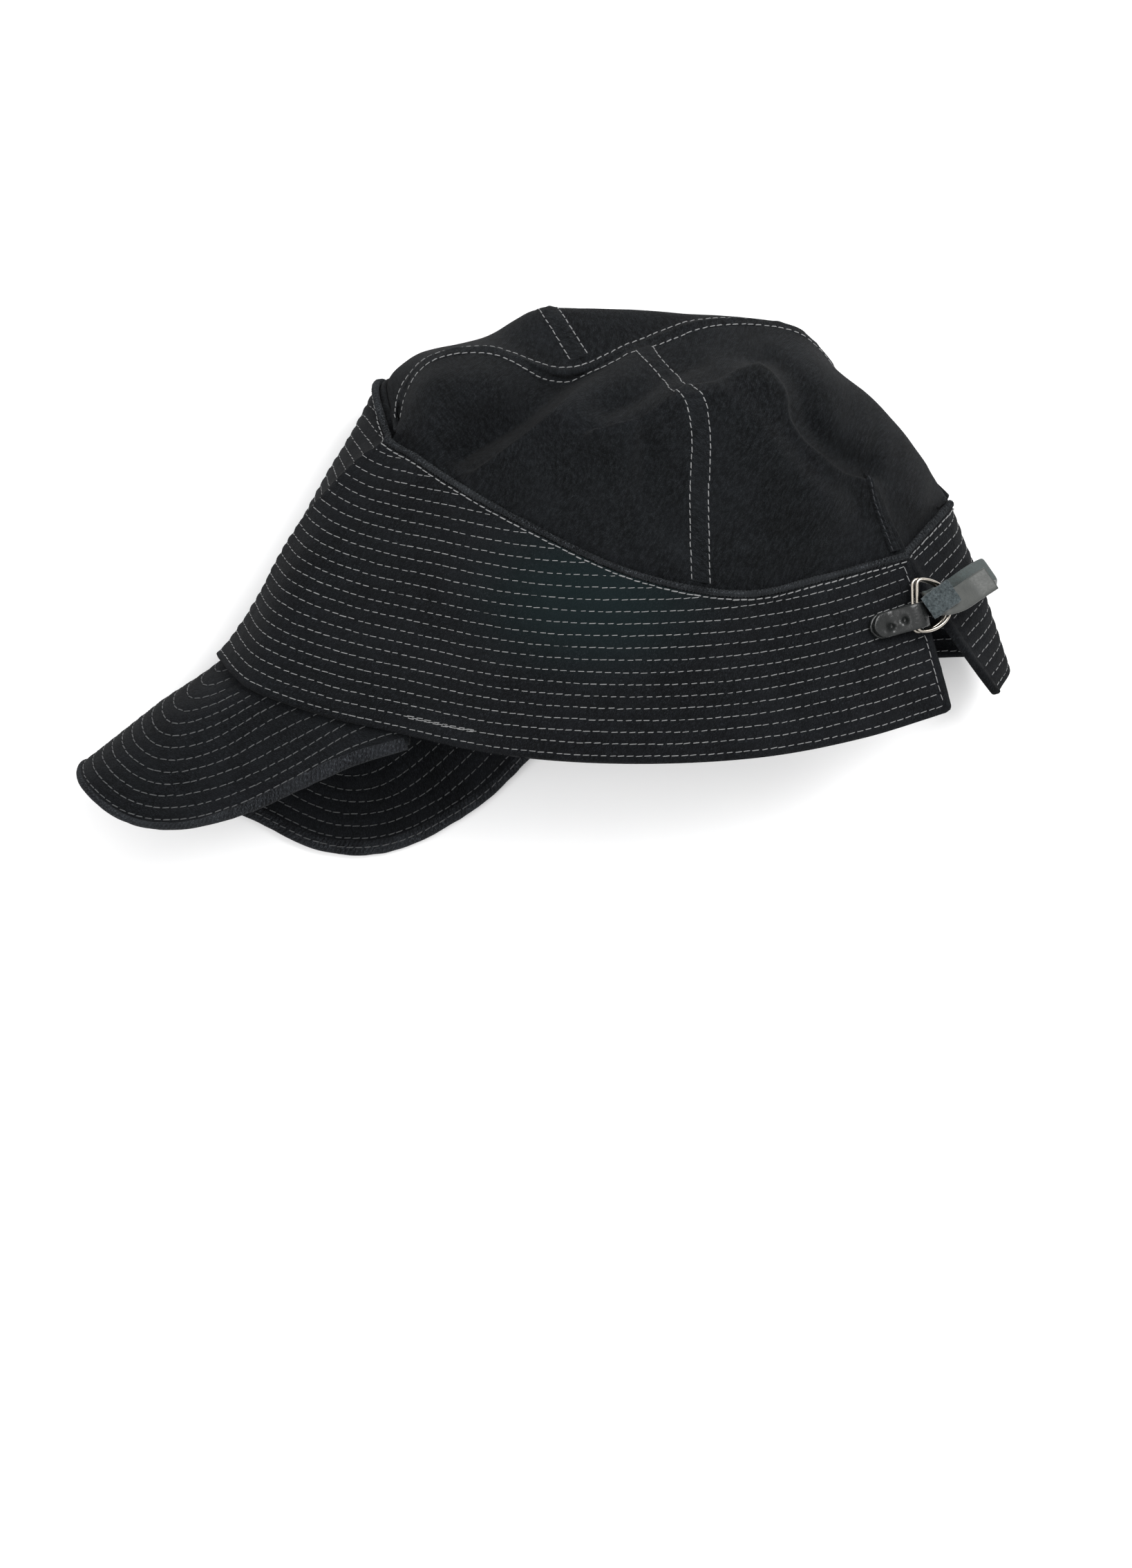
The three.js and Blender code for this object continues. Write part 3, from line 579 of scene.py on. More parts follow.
def thread(name, base, pale):
    n = Nodes(name)
    u, v, which = n.split(n.attribute("cloth", vector=True))[:3]
    twist = n.waves(n.plus(u, n.times(v, THREAD_TWIST["slant"])), THREAD_TWIST["length"])
    each = n.noise(n.join(n.times(which, 40.0), 0.0), 1.0)
    shade = n.mix(each, base, pale)
    # The grooves of the twist, where its bump is low, are painted darker: painted shade between the plies.
    shade = n.mix(n.stretch(twist, -1, 1, 0.35, 0.0), shade, scaled(base, 0.4))
    return n.finish(
        Base_Color=shade,
        Roughness=0.75,
        Specular_IOR_Level=0.2,
        Normal=n.bump(twist, 0.5, 0.0001),
    )


def leather(name, base, deep, gloss, shine, nap=None, creased=False):
    """Grain leather, with the nap of its other side where "cloth" says so."""
    n = Nodes(name)
    place = n.place()
    pebble = n.noise(place, 900, 3, 0.6)
    patch = n.noise(place, 160, 3, 0.5)
    shade = n.mix(n.stretch(patch, 0.3, 0.7), deep, base)
    rough = n.stretch(pebble, 0.3, 0.7, gloss - 0.08, gloss + 0.12)
    relief = n.plus(pebble, n.times(patch, 2.0))
    if creased:
        relief = n.plus(relief, n.times(n.noise(place, 500, 3, 0.6), 1.2))
    if nap is not None:
        grain_side = n.split(n.attribute("cloth", vector=True))[2]
        nap_shade = n.mix(n.stretch(n.noise(place, 1400, 3, 0.7), 0.3, 0.7), deep, nap)
        shade = n.mix(grain_side, nap_shade, shade)
        rough = n.stretch(grain_side, 0.0, 1.0, 0.95, rough)
    return n.finish(
        Base_Color=shade,
        Roughness=rough,
        Specular_IOR_Level=shine,
        Normal=n.bump(relief, 0.35, 0.0003),
    )


def suede(name, base, pale):
    n = Nodes(name)
    place = n.place()
    nap = n.noise(place, 950, 4, 0.8)
    patch = n.noise(place, 260, 3, 0.6)
    shade = n.mix(n.stretch(nap, 0.35, 0.7), base, pale)
    shade = n.mix(n.stretch(patch, 0.45, 0.75, 0.0, 0.5), shade, scaled(base, 0.5))
    return n.finish(
        Base_Color=shade,
        Roughness=0.95,
        Specular_IOR_Level=0.1,
        Sheen_Weight=0.15,
        Normal=n.bump(nap, 0.9, 0.0004),
    )


def nickel():
    n = Nodes("nickel_wire")
    scratch = n.noise(n.place(), 700, 2, 0.5)
    return n.finish(
        Base_Color=(0.36, 0.33, 0.29, 1.0),
        Metallic=1.0,
        Roughness=n.stretch(scratch, 0.3, 0.7, 0.1, 0.24),
    )


# Band

BAND_SECTIONS = table(
    "place rimX rimY rimZ topX topY topZ belly",
    [
        ("near_end", 162, -52.3, 64, 143.8, 10.6, 68, 1),
        ("near_back", 126, -63.3, 78, 110, 1.5, 81, 3),
        ("near_rear", 85, -71, 85, 79, -5, 86, 4),
        ("near_mid", 30, -73.5, 86, 36, 2.6, 88, 5),
        ("near_fore", -20, -69.8, 80, -9, 23.4, 87, 5),
        ("near_front", -61, -61, 69.3, -36, 39, 83, 5),
        ("near_crest", -92, -53.4, 63.5, -52, 49.8, 75, 6),
        ("front_near", -118, -43.4, 57.6, -59.4, 55, 65, 9),
        ("front_edge", -129, -31.5, 31, -67.2, 77, 42, -1),
        ("front_far", -122, -40, 9, -60, 78, 16, 1),
        ("far_crest", -104, -50, 0.5, -42, 64, 3, 0),
        ("far_front", -62, -58, -1, -15, 46, 0, 0),
        ("far_fore", -10, -55, -2, 20, 30, -2, 0),
        ("far_mid", 45, -47, -2, 55, 21, -2, 0),
        ("far_rear", 100, -38, -2, 100, 19, -2, 0),
        ("far_back", 150, -31.5, 0, 140, 25, 1, 0),
        ("far_turn", 175.5, -31, 9, 158.5, 30.5, 16, 1),
        ("far_edge", 185.4, -36, 26, 159.2, 29.8, 38, 1),
        ("far_end", 179.4, -46.6, 42, 140.5, 9.5, 62.5, 1),
    ],
)
BAND_LAST = len(BAND_SECTIONS) - 1
band_rim = rail(column(BAND_SECTIONS, "rimX", "rimY", "rimZ"))
band_top = rail(column(BAND_SECTIONS, "topX", "topY", "topZ"))
band_belly = rail(column(BAND_SECTIONS, "belly"))


FEEL = 0.05  # sections on each side of a place that its direction is read from
FRONT_FLARE = {"at": 8.0, "span": 0.8, "out": 3.5, "up": 10.0}
END_SWEEP = 3.0  # the far end's edge bows this far toward the near end
# The crease at the front: where it lies at each share of the band's height, how far it stands out, and
# how fast that fades before and after it
FRONT_CREST = {"share": (0, 0.55, 0.7, 0.9, 1), "at": (7.9, 7.48, 7.24, 7.1, 6.93)}
CREST_OUT = {"low": 3.0, "top": 2.6, "before": 0.35, "after": 0.12}
CREST_RISE = {"low": (0.1, 0.5), "top": (0.5, 0.8)}  # the shares of the height over which it comes in


def band_way(at):
    """The way the band runs where it is read."""
    at = np.asarray(at, float)
    return unit(band_rim(at + FEEL) + band_top(at + FEEL) - band_rim(at - FEEL) - band_top(at - FEEL))


def band_out(at):
    """The way out of the cloth where the band is read, square to its run and its rise."""
    return unit(np.cross(band_top(at) - band_rim(at), band_way(at)))


def band_height(at):
    return np.linalg.norm(band_top(at) - band_rim(at), axis=-1)


def band_point(at, up, deep=0.0):
    """The band's outer face, "up" above the rim and "deep" inside it."""
    at, up, deep = np.broadcast_arrays(np.asarray(at, float), np.asarray(up, float), np.asarray(deep, float))
    share = up / band_height(at)
    middle = 4 * share * (1 - share)
    away = (at - FRONT_FLARE["at"]) / FRONT_FLARE["span"]
    flare = FRONT_FLARE["out"] * np.exp(-(away**2) - up / FRONT_FLARE["up"])
    past = at - np.interp(share, FRONT_CREST["share"], FRONT_CREST["at"])
    crest = sum(CREST_OUT[part] * smoothstep(share, *CREST_RISE[part]) for part in ("low", "top"))
    crest = crest * np.exp(-np.abs(past) / np.where(past > 0, CREST_OUT["after"], CREST_OUT["before"]))
    sweep = END_SWEEP * middle * smoothstep(at, BAND_LAST - 1, BAND_LAST)
    out = band_out(at)
    lift = band_belly(at)[..., 0] * middle + flare + crest
    p = band_rim(at) * (1 - share[..., None]) + band_top(at) * share[..., None]
    p = p + out * lift[..., None] + band_way(at) * sweep[..., None]
    return flatten(p) - out * deep[..., None]


BAND_STEPS = 30  # along each section
band_places = np.linspace(0, BAND_LAST, BAND_STEPS * BAND_LAST + 1)
band_run = run_along(band_point(band_places, band_height(band_places) * 0.5))


def run_at(at):
    """Millimetres along the middle of the band."""
    return np.interp(at, band_places, band_run)


def wander(run, up):
    """How far the quilting rows stray from true."""
    return ROWS_WANDER * uneven_by(BAND_WANDER, run, up) * smoothstep(up, 0, TRUE_BELOW)


def roll(distance, middle):
    """The swell of a rolled edge whose width is twice "middle"."""
    return np.sqrt(np.clip(1 - ((distance - middle) / middle) ** 2, 0, 1))


def rib_height(distance):
    """0 on a stitched row, 1 between rows."""
    phase = np.abs(distance / ROW_PITCH - np.round(distance / ROW_PITCH)) * 2
    return 1 - (1 - phase) ** RIB_FULLNESS


def edge_round(distance, radius):
    """How far a cloth face turns in near its edge."""
    left = np.clip(radius - distance, 0, radius)
    return radius - np.sqrt(np.maximum(radius**2 - left**2, 0))


END_SWELL = 0.45  # the near end's turned edge swells this share of the far end's
RESTING = (8, 60)  # the broad softness comes in between these sums of the rim's and the top's height


def band_relief(at, up):
    """The band's height off its plain face: ribs, slack between them, and softness at large."""
    run = run_at(at)
    rows = up - RIM_ROW + wander(run, up)
    rib = np.where(rows > -ROW_PITCH / 2, rib_height(rows), 1.0)
    far_run = band_run[-1] - run
    near_end = 1 - smoothstep(run, END_COLUMN - 1, END_COLUMN)
    far_end = 1 - smoothstep(far_run, FAR_ROLL - 1, FAR_ROLL)
    rib = rib + (1 - rib) * np.maximum(near_end, far_end)
    ends = END_SWELL * roll(run, END_COLUMN / 2) + roll(far_run, FAR_ROLL / 2)
    slack = uneven_by(BAND_SLACK, run, rows) * rib
    lifted = smoothstep(band_rim(at)[..., 2] + band_top(at)[..., 2], *RESTING)
    return (rib - 1) * RIB_DEPTH + slack + uneven_by(BAND_BROAD, run, up) * lifted + ends


STEPS_PER_ROW = 6
GRID_TOP = 130.0  # the grid goes up to here, or to the rolled edge where the band is lower
LINING_RELIEF = {"most": 0.2, "share": 0.8}  # the ribs show more faintly inside


def lining_depth(relief):
    return BAND_WALL - np.minimum(relief, LINING_RELIEF["most"]) * LINING_RELIEF["share"]


def band_grid(inside):
    ups = np.arange(0, GRID_TOP, ROW_PITCH / STEPS_PER_ROW)
    at, up = np.meshgrid(band_places, ups, indexing="ij")
    limit = band_height(band_places)[:, None] - 2 * ROPE_RADIUS
    up = np.minimum(up, limit)
    corner = edge_round(up, CORNER)
    run = np.clip(run_at(at), corner, band_run[-1] - corner)
    at = np.interp(run, band_run, band_places)
    relief = band_relief(at, up)
    ends = np.minimum(run, band_run[-1] - run) - corner
    turn = edge_round(up, BAND_WALL / 2) + edge_round(ends, BAND_WALL / 2)
    turn = np.minimum(turn, BAND_WALL / 2)
    cloth = flat_cloth(run, up)
    if inside:
        return band_point(at, up, lining_depth(relief) - turn), cloth
    return flatten(band_point(at, up, turn - relief)), cloth


# A teal cast lies over the middle of the band, as an ellipsoid that fades out
TEAL_CAST = {"middle": (18, -8, 88), "reach": (52, 34, 60), "most": 0.6, "full": 0.2, "gone": 1.2}


def band_tint(grid):
    distance = np.linalg.norm((grid - TEAL_CAST["middle"]) / np.array(TEAL_CAST["reach"]), axis=-1)
    return TEAL_CAST["most"] * (1 - smoothstep(distance, TEAL_CAST["full"], TEAL_CAST["gone"]))


def make_band(cloth_material):
    outer, cloth = band_grid(inside=False)
    inner, _ = band_grid(inside=True)
    piece = shell("band_quilted", outer, inner, cloth, band_tint(outer), step=(2, 1))
    dress(piece, cloth_material, ["band"])


ROW_POINTS = 60  # points for each section that a row of sewing crosses


def on_band(at, up, lift=0.0):
    """Points on the band's quilted face, and the way out of the cloth at each."""
    return band_point(at, up, -lift - band_relief(at, up)), band_out(at)


def band_row(up_at, low, high, inside=False, lift=0.0):
    """One row of sewing along the band, at a height given by a function of place."""
    at = np.linspace(low, high, max(8, int(ROW_POINTS * (high - low))))
    up = up_at(at)
    if inside:
        return band_point(at, up, lining_depth(band_relief(at, up))), -band_out(at)
    points, normals = on_band(at, up, lift)
    return flatten(points), normals


ROW_CLEAR_OF_ROPE = 1.2
MOST_ROWS = 30


def stretches(found):
    """Start and stop of each unbroken stretch of true values."""
    edges = np.flatnonzero(np.diff(np.concatenate([[0], found.astype(int), [0]])))
    return zip(edges[::2], edges[1::2])


def band_rows():
    """The spans of the band that each quilting row crosses, from the rim up."""
    spans = []
    low, high = np.interp([END_COLUMN, band_run[-1] - FAR_ROLL], band_run, band_places)
    fine = np.linspace(low, high, 1500)
    room = band_height(fine) - 2 * ROPE_RADIUS - ROW_CLEAR_OF_ROPE
    for k in range(MOST_ROWS):
        level = RIM_ROW + k * ROW_PITCH
        for start, stop in stretches(room > level):
            spans.append((level, fine[start], fine[stop - 1]))
    return spans


BACKTACK = (4.2, 4.95)  # the second row is sewn over again between these places
BACKTACK_OFF = (0.45, -0.4)  # this far above the row, and below it
SEWN_BELOW_ROPE = 0.8
COLUMN_BELOW_TOP = 5.0
EDGE_ENDS = 0.05  # sections that the row below the rolled edge stops short of each end
THREAD_LIFT = 0.1


def quilting_row(level):
    """The height of a quilting row, as a function of place along the band."""
    return lambda at: level - wander(run_at(at), level)


def below_rope(at):
    return band_height(at) - 2 * ROPE_RADIUS - SEWN_BELOW_ROPE


def make_band_stitches(material):
    spans = band_rows()
    rows = [band_row(quilting_row(level), low, high) for level, low, high in spans]
    lining = [band_row(quilting_row(level), low, high, inside=True) for level, low, high in spans]
    edge = [band_row(below_rope, EDGE_ENDS, BAND_LAST - EDGE_ENDS, lift=THREAD_LIFT)]
    column_at = np.interp(END_COLUMN, band_run, band_places)
    up = np.linspace(END_COLUMN, float(band_height(column_at)) - COLUMN_BELOW_TOP, 90)
    rows.append(on_band(np.full(len(up), column_at), up, lift=THREAD_LIFT))
    tack = np.linspace(*BACKTACK, 60)
    for off in BACKTACK_OFF:
        rows.append(on_band(tack, quilting_row(RIM_ROW + ROW_PITCH + off)(tack)))
    stitches("band_stitches", rows, material)
    stitches("band_lining_stitches", lining, material, corners=HIDDEN_CORNERS)
    stitches("band_edge_stitches", edge, material, **EDGE_SEWING)


ROPE_TWIST = {"length": 1.6, "swell": 0.11}  # the rolled edge is corded along its length
ROPE_ENDS = 0.02  # sections that it stops short of each end
ROPE_SUNK = 0.5
ROPE_POINTS = 2400
ROPE_CORNERS = 10


def make_rope(material):
    at = np.linspace(ROPE_ENDS, BAND_LAST - ROPE_ENDS, ROPE_POINTS)
    centres = flatten(band_point(at, band_height(at) - ROPE_RADIUS, ROPE_SUNK), ROPE_RADIUS + GAP)
    ups = unit(band_top(at) - band_rim(at))
    run = run_at(at)
    swell = 1 + ROPE_TWIST["swell"] * np.sin(run * 2 * np.pi / ROPE_TWIST["length"])
    swell = swell + 0.1 * noise(run / 1.7, 0, 4) + 0.1 * noise(run / 8, 3, 6)
    half = ROPE_RADIUS * swell
    piece = one_tube("band_rolled_edge", centres, band_out(at), ups, half, half, ROPE_CORNERS)
    dress(piece, material, ["band_rope"])


# Crown

NEAR_SECTIONS = table(
    "place bandAt lowX lowY lowZ highX highY highZ seamX seamY seamZ",
    [
        ("front", 7.1, -60, 58.6, 65, -59, 59.8, 64, -57.6, 61, 63),
        ("brow", 6.2, -51, 59, 74, -53, 68, 68, -55.5, 75, 54),
        ("forehead", 5.2, -38, 58, 83, -44, 76, 76, -46, 87, 58),
        ("fore", 4.2, -18, 50, 87, -24, 74, 84, -24, 91, 62),
        ("hollow", 3.6, 12, 38, 88, 2, 64, 84, 9, 80.8, 58),
        ("coronal", 2.4, 61.5, 30, 92, 61.5, 65, 92, 38.5, 92.5, 51),
        ("rear", 1.8, 86, 30, 92, 85, 66, 89, 66, 102.2, 43),
        ("slope", 1.1, 107, 26, 88, 110, 70, 74, 101, 98.6, 32),
        ("dart", 0.12, 126.6, 39.2, 76, 128, 71.5, 50, 119, 78, 22),
        ("corner", 17.5, 148, 30, 56, 149, 48.5, 38, 139, 52.5, 18),
        ("back", 16.5, 159.8, 31, 27, 159.6, 31.6, 25.5, 159.4, 32.3, 24),
    ],
)
FAR_SECTIONS = table(
    "place bandAt ridgeX ridgeY ridgeZ underX underY underZ",
    [
        ("front", 7.1, -59, 59.8, 64, -60, 58.6, 65),
        ("brow", 8.4, -61.8, 79.5, 40, -61, 79.5, 33),
        ("forehead", 9.6, -51.3, 88.8, 34, -47, 84, 8),
        ("fore", 10.6, -25, 95.3, 34, -20, 84, 2),
        ("hollow", 11.5, -4, 107, 36, 4, 86, -2),
        ("coronal", 12.3, 16, 107.8, 34, 26, 84, -3),
        ("rear", 13.2, 52, 105, 32, 60, 80, -3),
        ("slope", 14, 99, 98, 18, 96, 74, -3),
        ("dart", 14.8, 120, 76, 12, 118, 56, -2),
        ("corner", 15.6, 141, 52, 12, 142, 42, 2),
        ("back", 16.5, 159.6, 31.6, 25.5, 159.8, 31, 27),
    ],
)
CROWN_LAST = len(NEAR_SECTIONS) - 1
CORONAL = [s["place"] for s in NEAR_SECTIONS].index("coronal")
FAR_CORONAL = 4.25  # the far panels meet a little further forward than the near ones
DART = [s["place"] for s in NEAR_SECTIONS].index("dart")
SEWN_BELOW_TOP = 5.0  # the crown's cloth begins this far below the band's top, inside it
SEWN_DEPTH = BAND_WALL + GAP
EXIT_DEPTH = 2.5  # the cloth comes out right behind the rolled edge
EXIT_ABOVE_TOP = 1.0
SEWN_SHARE = 0.12  # the share of the way across the crown that the sewn part takes
SLIT_SPAN = 0.2  # places along the band are counted on across the slit, which takes this much
CROWN_REST = GAP + SEAM_THICKNESS + 2 * SEAM_CLEAR  # the far side's seams fit under the cloth
PANEL_STEPS = {"near": (23, 130), "far": (14, 90)}  # pairs of rows for each section, and columns
# How far across the crown each cross seam runs, as shares
NEAR_SEAM_SHARES = (0.13, 0.985)
FAR_SEAM_SHARES = (0.05, 0.87)
DART_SHARES = (0.13, 0.43)
DART_WIDTHS = (5.2, 1.4)

seam_rail = rail(column(NEAR_SECTIONS, "seamX", "seamY", "seamZ"))
near_low = rail(column(NEAR_SECTIONS, "lowX", "lowY", "lowZ"))
near_high = rail(column(NEAR_SECTIONS, "highX", "highY", "highZ"))
far_ridge = rail(column(FAR_SECTIONS, "ridgeX", "ridgeY", "ridgeZ"))
far_under = rail(column(FAR_SECTIONS, "underX", "underY", "underZ"))
far_at = rail(column(FAR_SECTIONS, "bandAt"))


def past_slit(band_at):
    return band_at - BAND_LAST - SLIT_SPAN if band_at > BAND_LAST / 2 else band_at


near_at = rail([[past_slit(s["bandAt"])] for s in NEAR_SECTIONS])


def crown_edge(band_at):
    return band_point(band_at, band_height(band_at) - SEWN_BELOW_TOP, SEWN_DEPTH)


def crown_exit(band_at):
    return band_point(band_at, band_height(band_at) + EXIT_ABOVE_TOP, EXIT_DEPTH)


def across_slit(read, place):
    near = read(np.clip(place, 0, BAND_LAST))
    far = read(np.clip(BAND_LAST + SLIT_SPAN + place, 0, BAND_LAST))
    share = np.clip(-place / SLIT_SPAN, 0, 1)[..., None]
    bridged = read(np.zeros_like(place)) * (1 - share) + read(np.full_like(place, BAND_LAST)) * share
    return np.where((place >= 0)[..., None], near, np.where((place <= -SLIT_SPAN)[..., None], far, bridged))


# Slouch folds on the near side. Each is a path in plan where the fold's crest is seen, how far the cloth
# lifts (or drops, minus) along it, and how fast that fades to the left and to the right of someone walking
# along the path. The crest is cloth from "lean" millimetres to the right, so that it hangs over.
FOLDS = table(
    "name lift left right lean path",
    [
        (
            "front_crease", -17, 3.5, 14, 0,
            [(24, 90), (12, 80.5), (4, 73.5), (-9.5, 62), (-20, 55), (-31, 48.5)],
        ),
        (
            "front_billow", 7, 3, 18, 4,
            [(-27.4, 42.7), (-16.5, 50), (-6.7, 57.3), (3, 65.8), (12.8, 75.6), (22.5, 83), (30, 88)],
        ),
        (
            "seam_lip", 7.5, 2.2, 12, 4.6,
            [
                (22, 57.8), (30, 60.5), (37.7, 62.7), (45, 68.6), (52.3, 74.5), (59.6, 77.6), (66.9, 77.8),
                (74, 80.8), (82, 83.4),
            ],
        ),
        ("under_lip", -9, 3, 9, 0, [(60, 84), (52, 80.5), (44, 74.5), (36, 68.5), (27, 64.5)]),
        ("seam_drift", 0, 7, 7, 3.5, [(53.5, 75), (49.8, 80.5), (45, 86.5)]),
        ("upper_wrinkle", -3, 6, 4, 0, [(54, 97), (65, 93.2), (74, 88.4), (81, 85)]),
        (
            "rear_ridge", 6, 2.4, 12, 3.4,
            [
                (84, 83.3), (87.4, 81.7), (93.2, 77.3), (96.2, 71.5), (96.9, 62.7), (102, 54), (110.7, 46.7),
                (119.5, 40.8), (126.8, 39.4),
            ],
        ),
        (
            "rear_valley", -7, 6, 4, 0,
            [(90, 85), (97, 79), (101.5, 71), (103, 63), (108, 55.5), (116, 48.5), (125, 44.5)],
        ),
        ("back_billow", 3, 12, 14, 0, [(104, 88), (119, 71), (133, 54)]),
        (
            "side_ridge", 4.4, 4.5, 14, 0,
            [(69, 70), (80, 61.5), (88.5, 49.6), (96, 41), (105, 33), (113, 27.5)],
        ),
        ("side_valley", -4.2, 8, 4, 0, [(93, 56), (99, 47), (107, 39.5), (117, 34), (124, 28)]),
        ("low_ridge", 3.4, 4, 9, 0, [(35, 53), (31.5, 37.5), (28, 24.4), (24.4, 14)]),
        ("low_valley", -3.4, 7, 4, 0, [(40, 50), (40, 36), (45, 24), (50, 17)]),
        ("dart_valley", -3.2, 9, 3.5, 0, [(130, 38), (137, 28), (143, 19), (147, 15)]),
        ("foot_wrinkle", -2.0, 4, 3, 0, [(70, 14), (80, 19), (90, 15), (101, 19)]),
        ("foot_ridge", 1.2, 4, 4, 0, [(74, 8), (85, 12), (96, 9), (107, 12)]),
        ("front_wrinkle", -1.8, 7, 5, 0, [(-44, 70), (-30, 62), (-20, 68)]),
    ],
)


def along_path(x, y, path, lean):
    """Distance to where a fold's cloth comes from, which side of it (1 left, -1 right), and the way left."""
    curve = spline(np.array(path, float), np.linspace(0, len(path) - 1, 8 * len(path)))
    run = unit(np.gradient(curve, axis=0))
    curve = curve + np.stack([run[:, 1], -run[:, 0]], -1) * lean
    nearest = np.full(x.shape, np.inf)
    side = np.zeros(x.shape)
    way = np.zeros(x.shape + (2,))
    for (ax, ay), (bx, by) in zip(curve[:-1], curve[1:]):
        length = math.hypot(bx - ax, by - ay)
        t = np.clip(((x - ax) * (bx - ax) + (y - ay) * (by - ay)) / length**2, 0, 1)
        distance = np.hypot(x - ax - t * (bx - ax), y - ay - t * (by - ay))
        closer = distance < nearest
        nearest = np.where(closer, distance, nearest)
        square = np.array([ay - by, bx - ax]) / length
        off = (x - ax) * square[0] + (y - ay) * square[1]
        side = np.where(closer, off / np.maximum(distance, 1e-6), side)
        way[closer] = square
    return nearest, np.clip(side, -1, 1), way


def fold_shift(x, y):
    shift = np.zeros(x.shape + (3,))
    for fold in FOLDS:
        distance, side, way = along_path(x, y, fold["path"], fold["lean"])
        half = (fold["left"] + fold["right"]) / 2 + (fold["left"] - fold["right"]) / 2 * side
        weight = np.exp(-((distance / half) ** 2))
        shift[..., 2] += fold["lift"] * weight
        shift[..., :2] += way * (fold["lean"] * weight)[..., None]
    return shift


def crown_curve(controls, share):
    first = 1 / (len(controls) - 1)
    beyond = first + (1 - first) * (share - SEWN_SHARE) / (1 - SEWN_SHARE)
    t = np.where(share < SEWN_SHARE, share / SEWN_SHARE * first, beyond)
    return spline(np.stack(controls), t * (len(controls) - 1))


def near_crown(at, share):
    """The near half of the crown: share runs from the band (0) to the long seam (1)."""
    at, share = np.broadcast_arrays(np.asarray(at, float), np.asarray(share, float))
    place = near_at(at)[..., 0]
    sewn = [across_slit(crown_edge, place), across_slit(crown_exit, place)]
    p = crown_curve([*sewn, near_low(at), near_high(at), seam_rail(at)], share)
    hold = np.clip(np.sin(np.pi * share), 0, 1) ** 0.4 * np.clip(np.sin(np.pi * at / CROWN_LAST), 0, 1) ** 0.5
    return p + fold_shift(p[..., 0], p[..., 1]) * hold[..., None]


def far_crown(at, share):
    """The far half: from the long seam (0), over the ridge, under the cap, to the band (1)."""
    at, share = np.broadcast_arrays(np.asarray(at, float), np.asarray(share, float))
    place = far_at(at)[..., 0]
    sewn = [crown_edge(place), crown_exit(place)]
    return flatten(crown_curve([*sewn, far_under(at), far_ridge(at), seam_rail(at)], 1 - share), CROWN_REST)


def crown_softness(grid):
    """Small unevenness of soft cloth, by place in plan and height."""
    x, y, z = grid[..., 0], grid[..., 1], grid[..., 2]
    return uneven_by(CROWN_SOFT, x, y + z)


def softened(grid, share):
    """The crown's cloth with its unevenness, which fades out where a panel is sewn."""
    hold = np.clip(np.sin(np.pi * share), 0, 1) ** 0.5
    return flatten(grid + grid_normals(grid) * (crown_softness(grid) * hold)[..., None], CROWN_REST)


def panel_coordinates(grid):
    """Cloth millimetres along and across a grid, from its own lengths."""
    along = np.linalg.norm(np.diff(grid, axis=0), axis=-1).mean(axis=1)
    u = np.concatenate([[0], np.cumsum(along)])[:, None]
    across = np.linalg.norm(np.diff(grid, axis=1), axis=-1)
    v = np.concatenate([np.zeros((grid.shape[0], 1)), np.cumsum(across, axis=1)], axis=1)
    return flat_cloth(u, v)


def make_panel(name, surface, low, high, near_side, material, node):
    pairs, cols = PANEL_STEPS["near" if near_side else "far"]
    rows = 2 * int(pairs * (high - low))
    at, share = np.meshgrid(np.linspace(high, low, rows + 1), np.linspace(0, 1, cols + 1), indexing="ij")
    grid = surface(at, share)
    end, following = (cols, cols - 1) if near_side else (0, 1)
    grid[:, end] += unit(grid[:, following] - grid[:, end]) * GAP  # the two halves stop short of each other
    cloth = panel_coordinates(grid)
    outer = softened(grid, share)
    inner = outer - grid_normals(grid) * CROWN_WALL
    piece = shell(name, outer, inner, cloth, step=(2, 2))
    dress(piece, material, [node])


SEAM_RISE = 0.75
SEAM_SUNK = 0.3  # a seam's edges lie this far under the face of the panels
# The fold inside a felled seam shows as a low ridge along it, and its thread sinks in
SEAM_RIDGE = {"high": 0.35, "at": 0.15, "wide": 0.2}
SEAM_GROOVE = {"deep": 0.25, "wide": 0.6}
# How far it puckers, over how many millimetres, how often across, and which noise it reads
SEAM_PUCKERS = [(0.28, 2.6, 1.6, 12), (0.2, 6, 1.2, 13)]
LONG_SEAM_MOST = 0.3  # the share of a panel that the long seam may cover
LONG_SEAM_ENDS = {"front": 0.12, "back": 0.2}  # sections that it stops short of the crown's ends
LONG_SEAM_POINTS = 340
SEAM_UNDER = 0.9  # a seam's inner face lies this far under the face of the panels


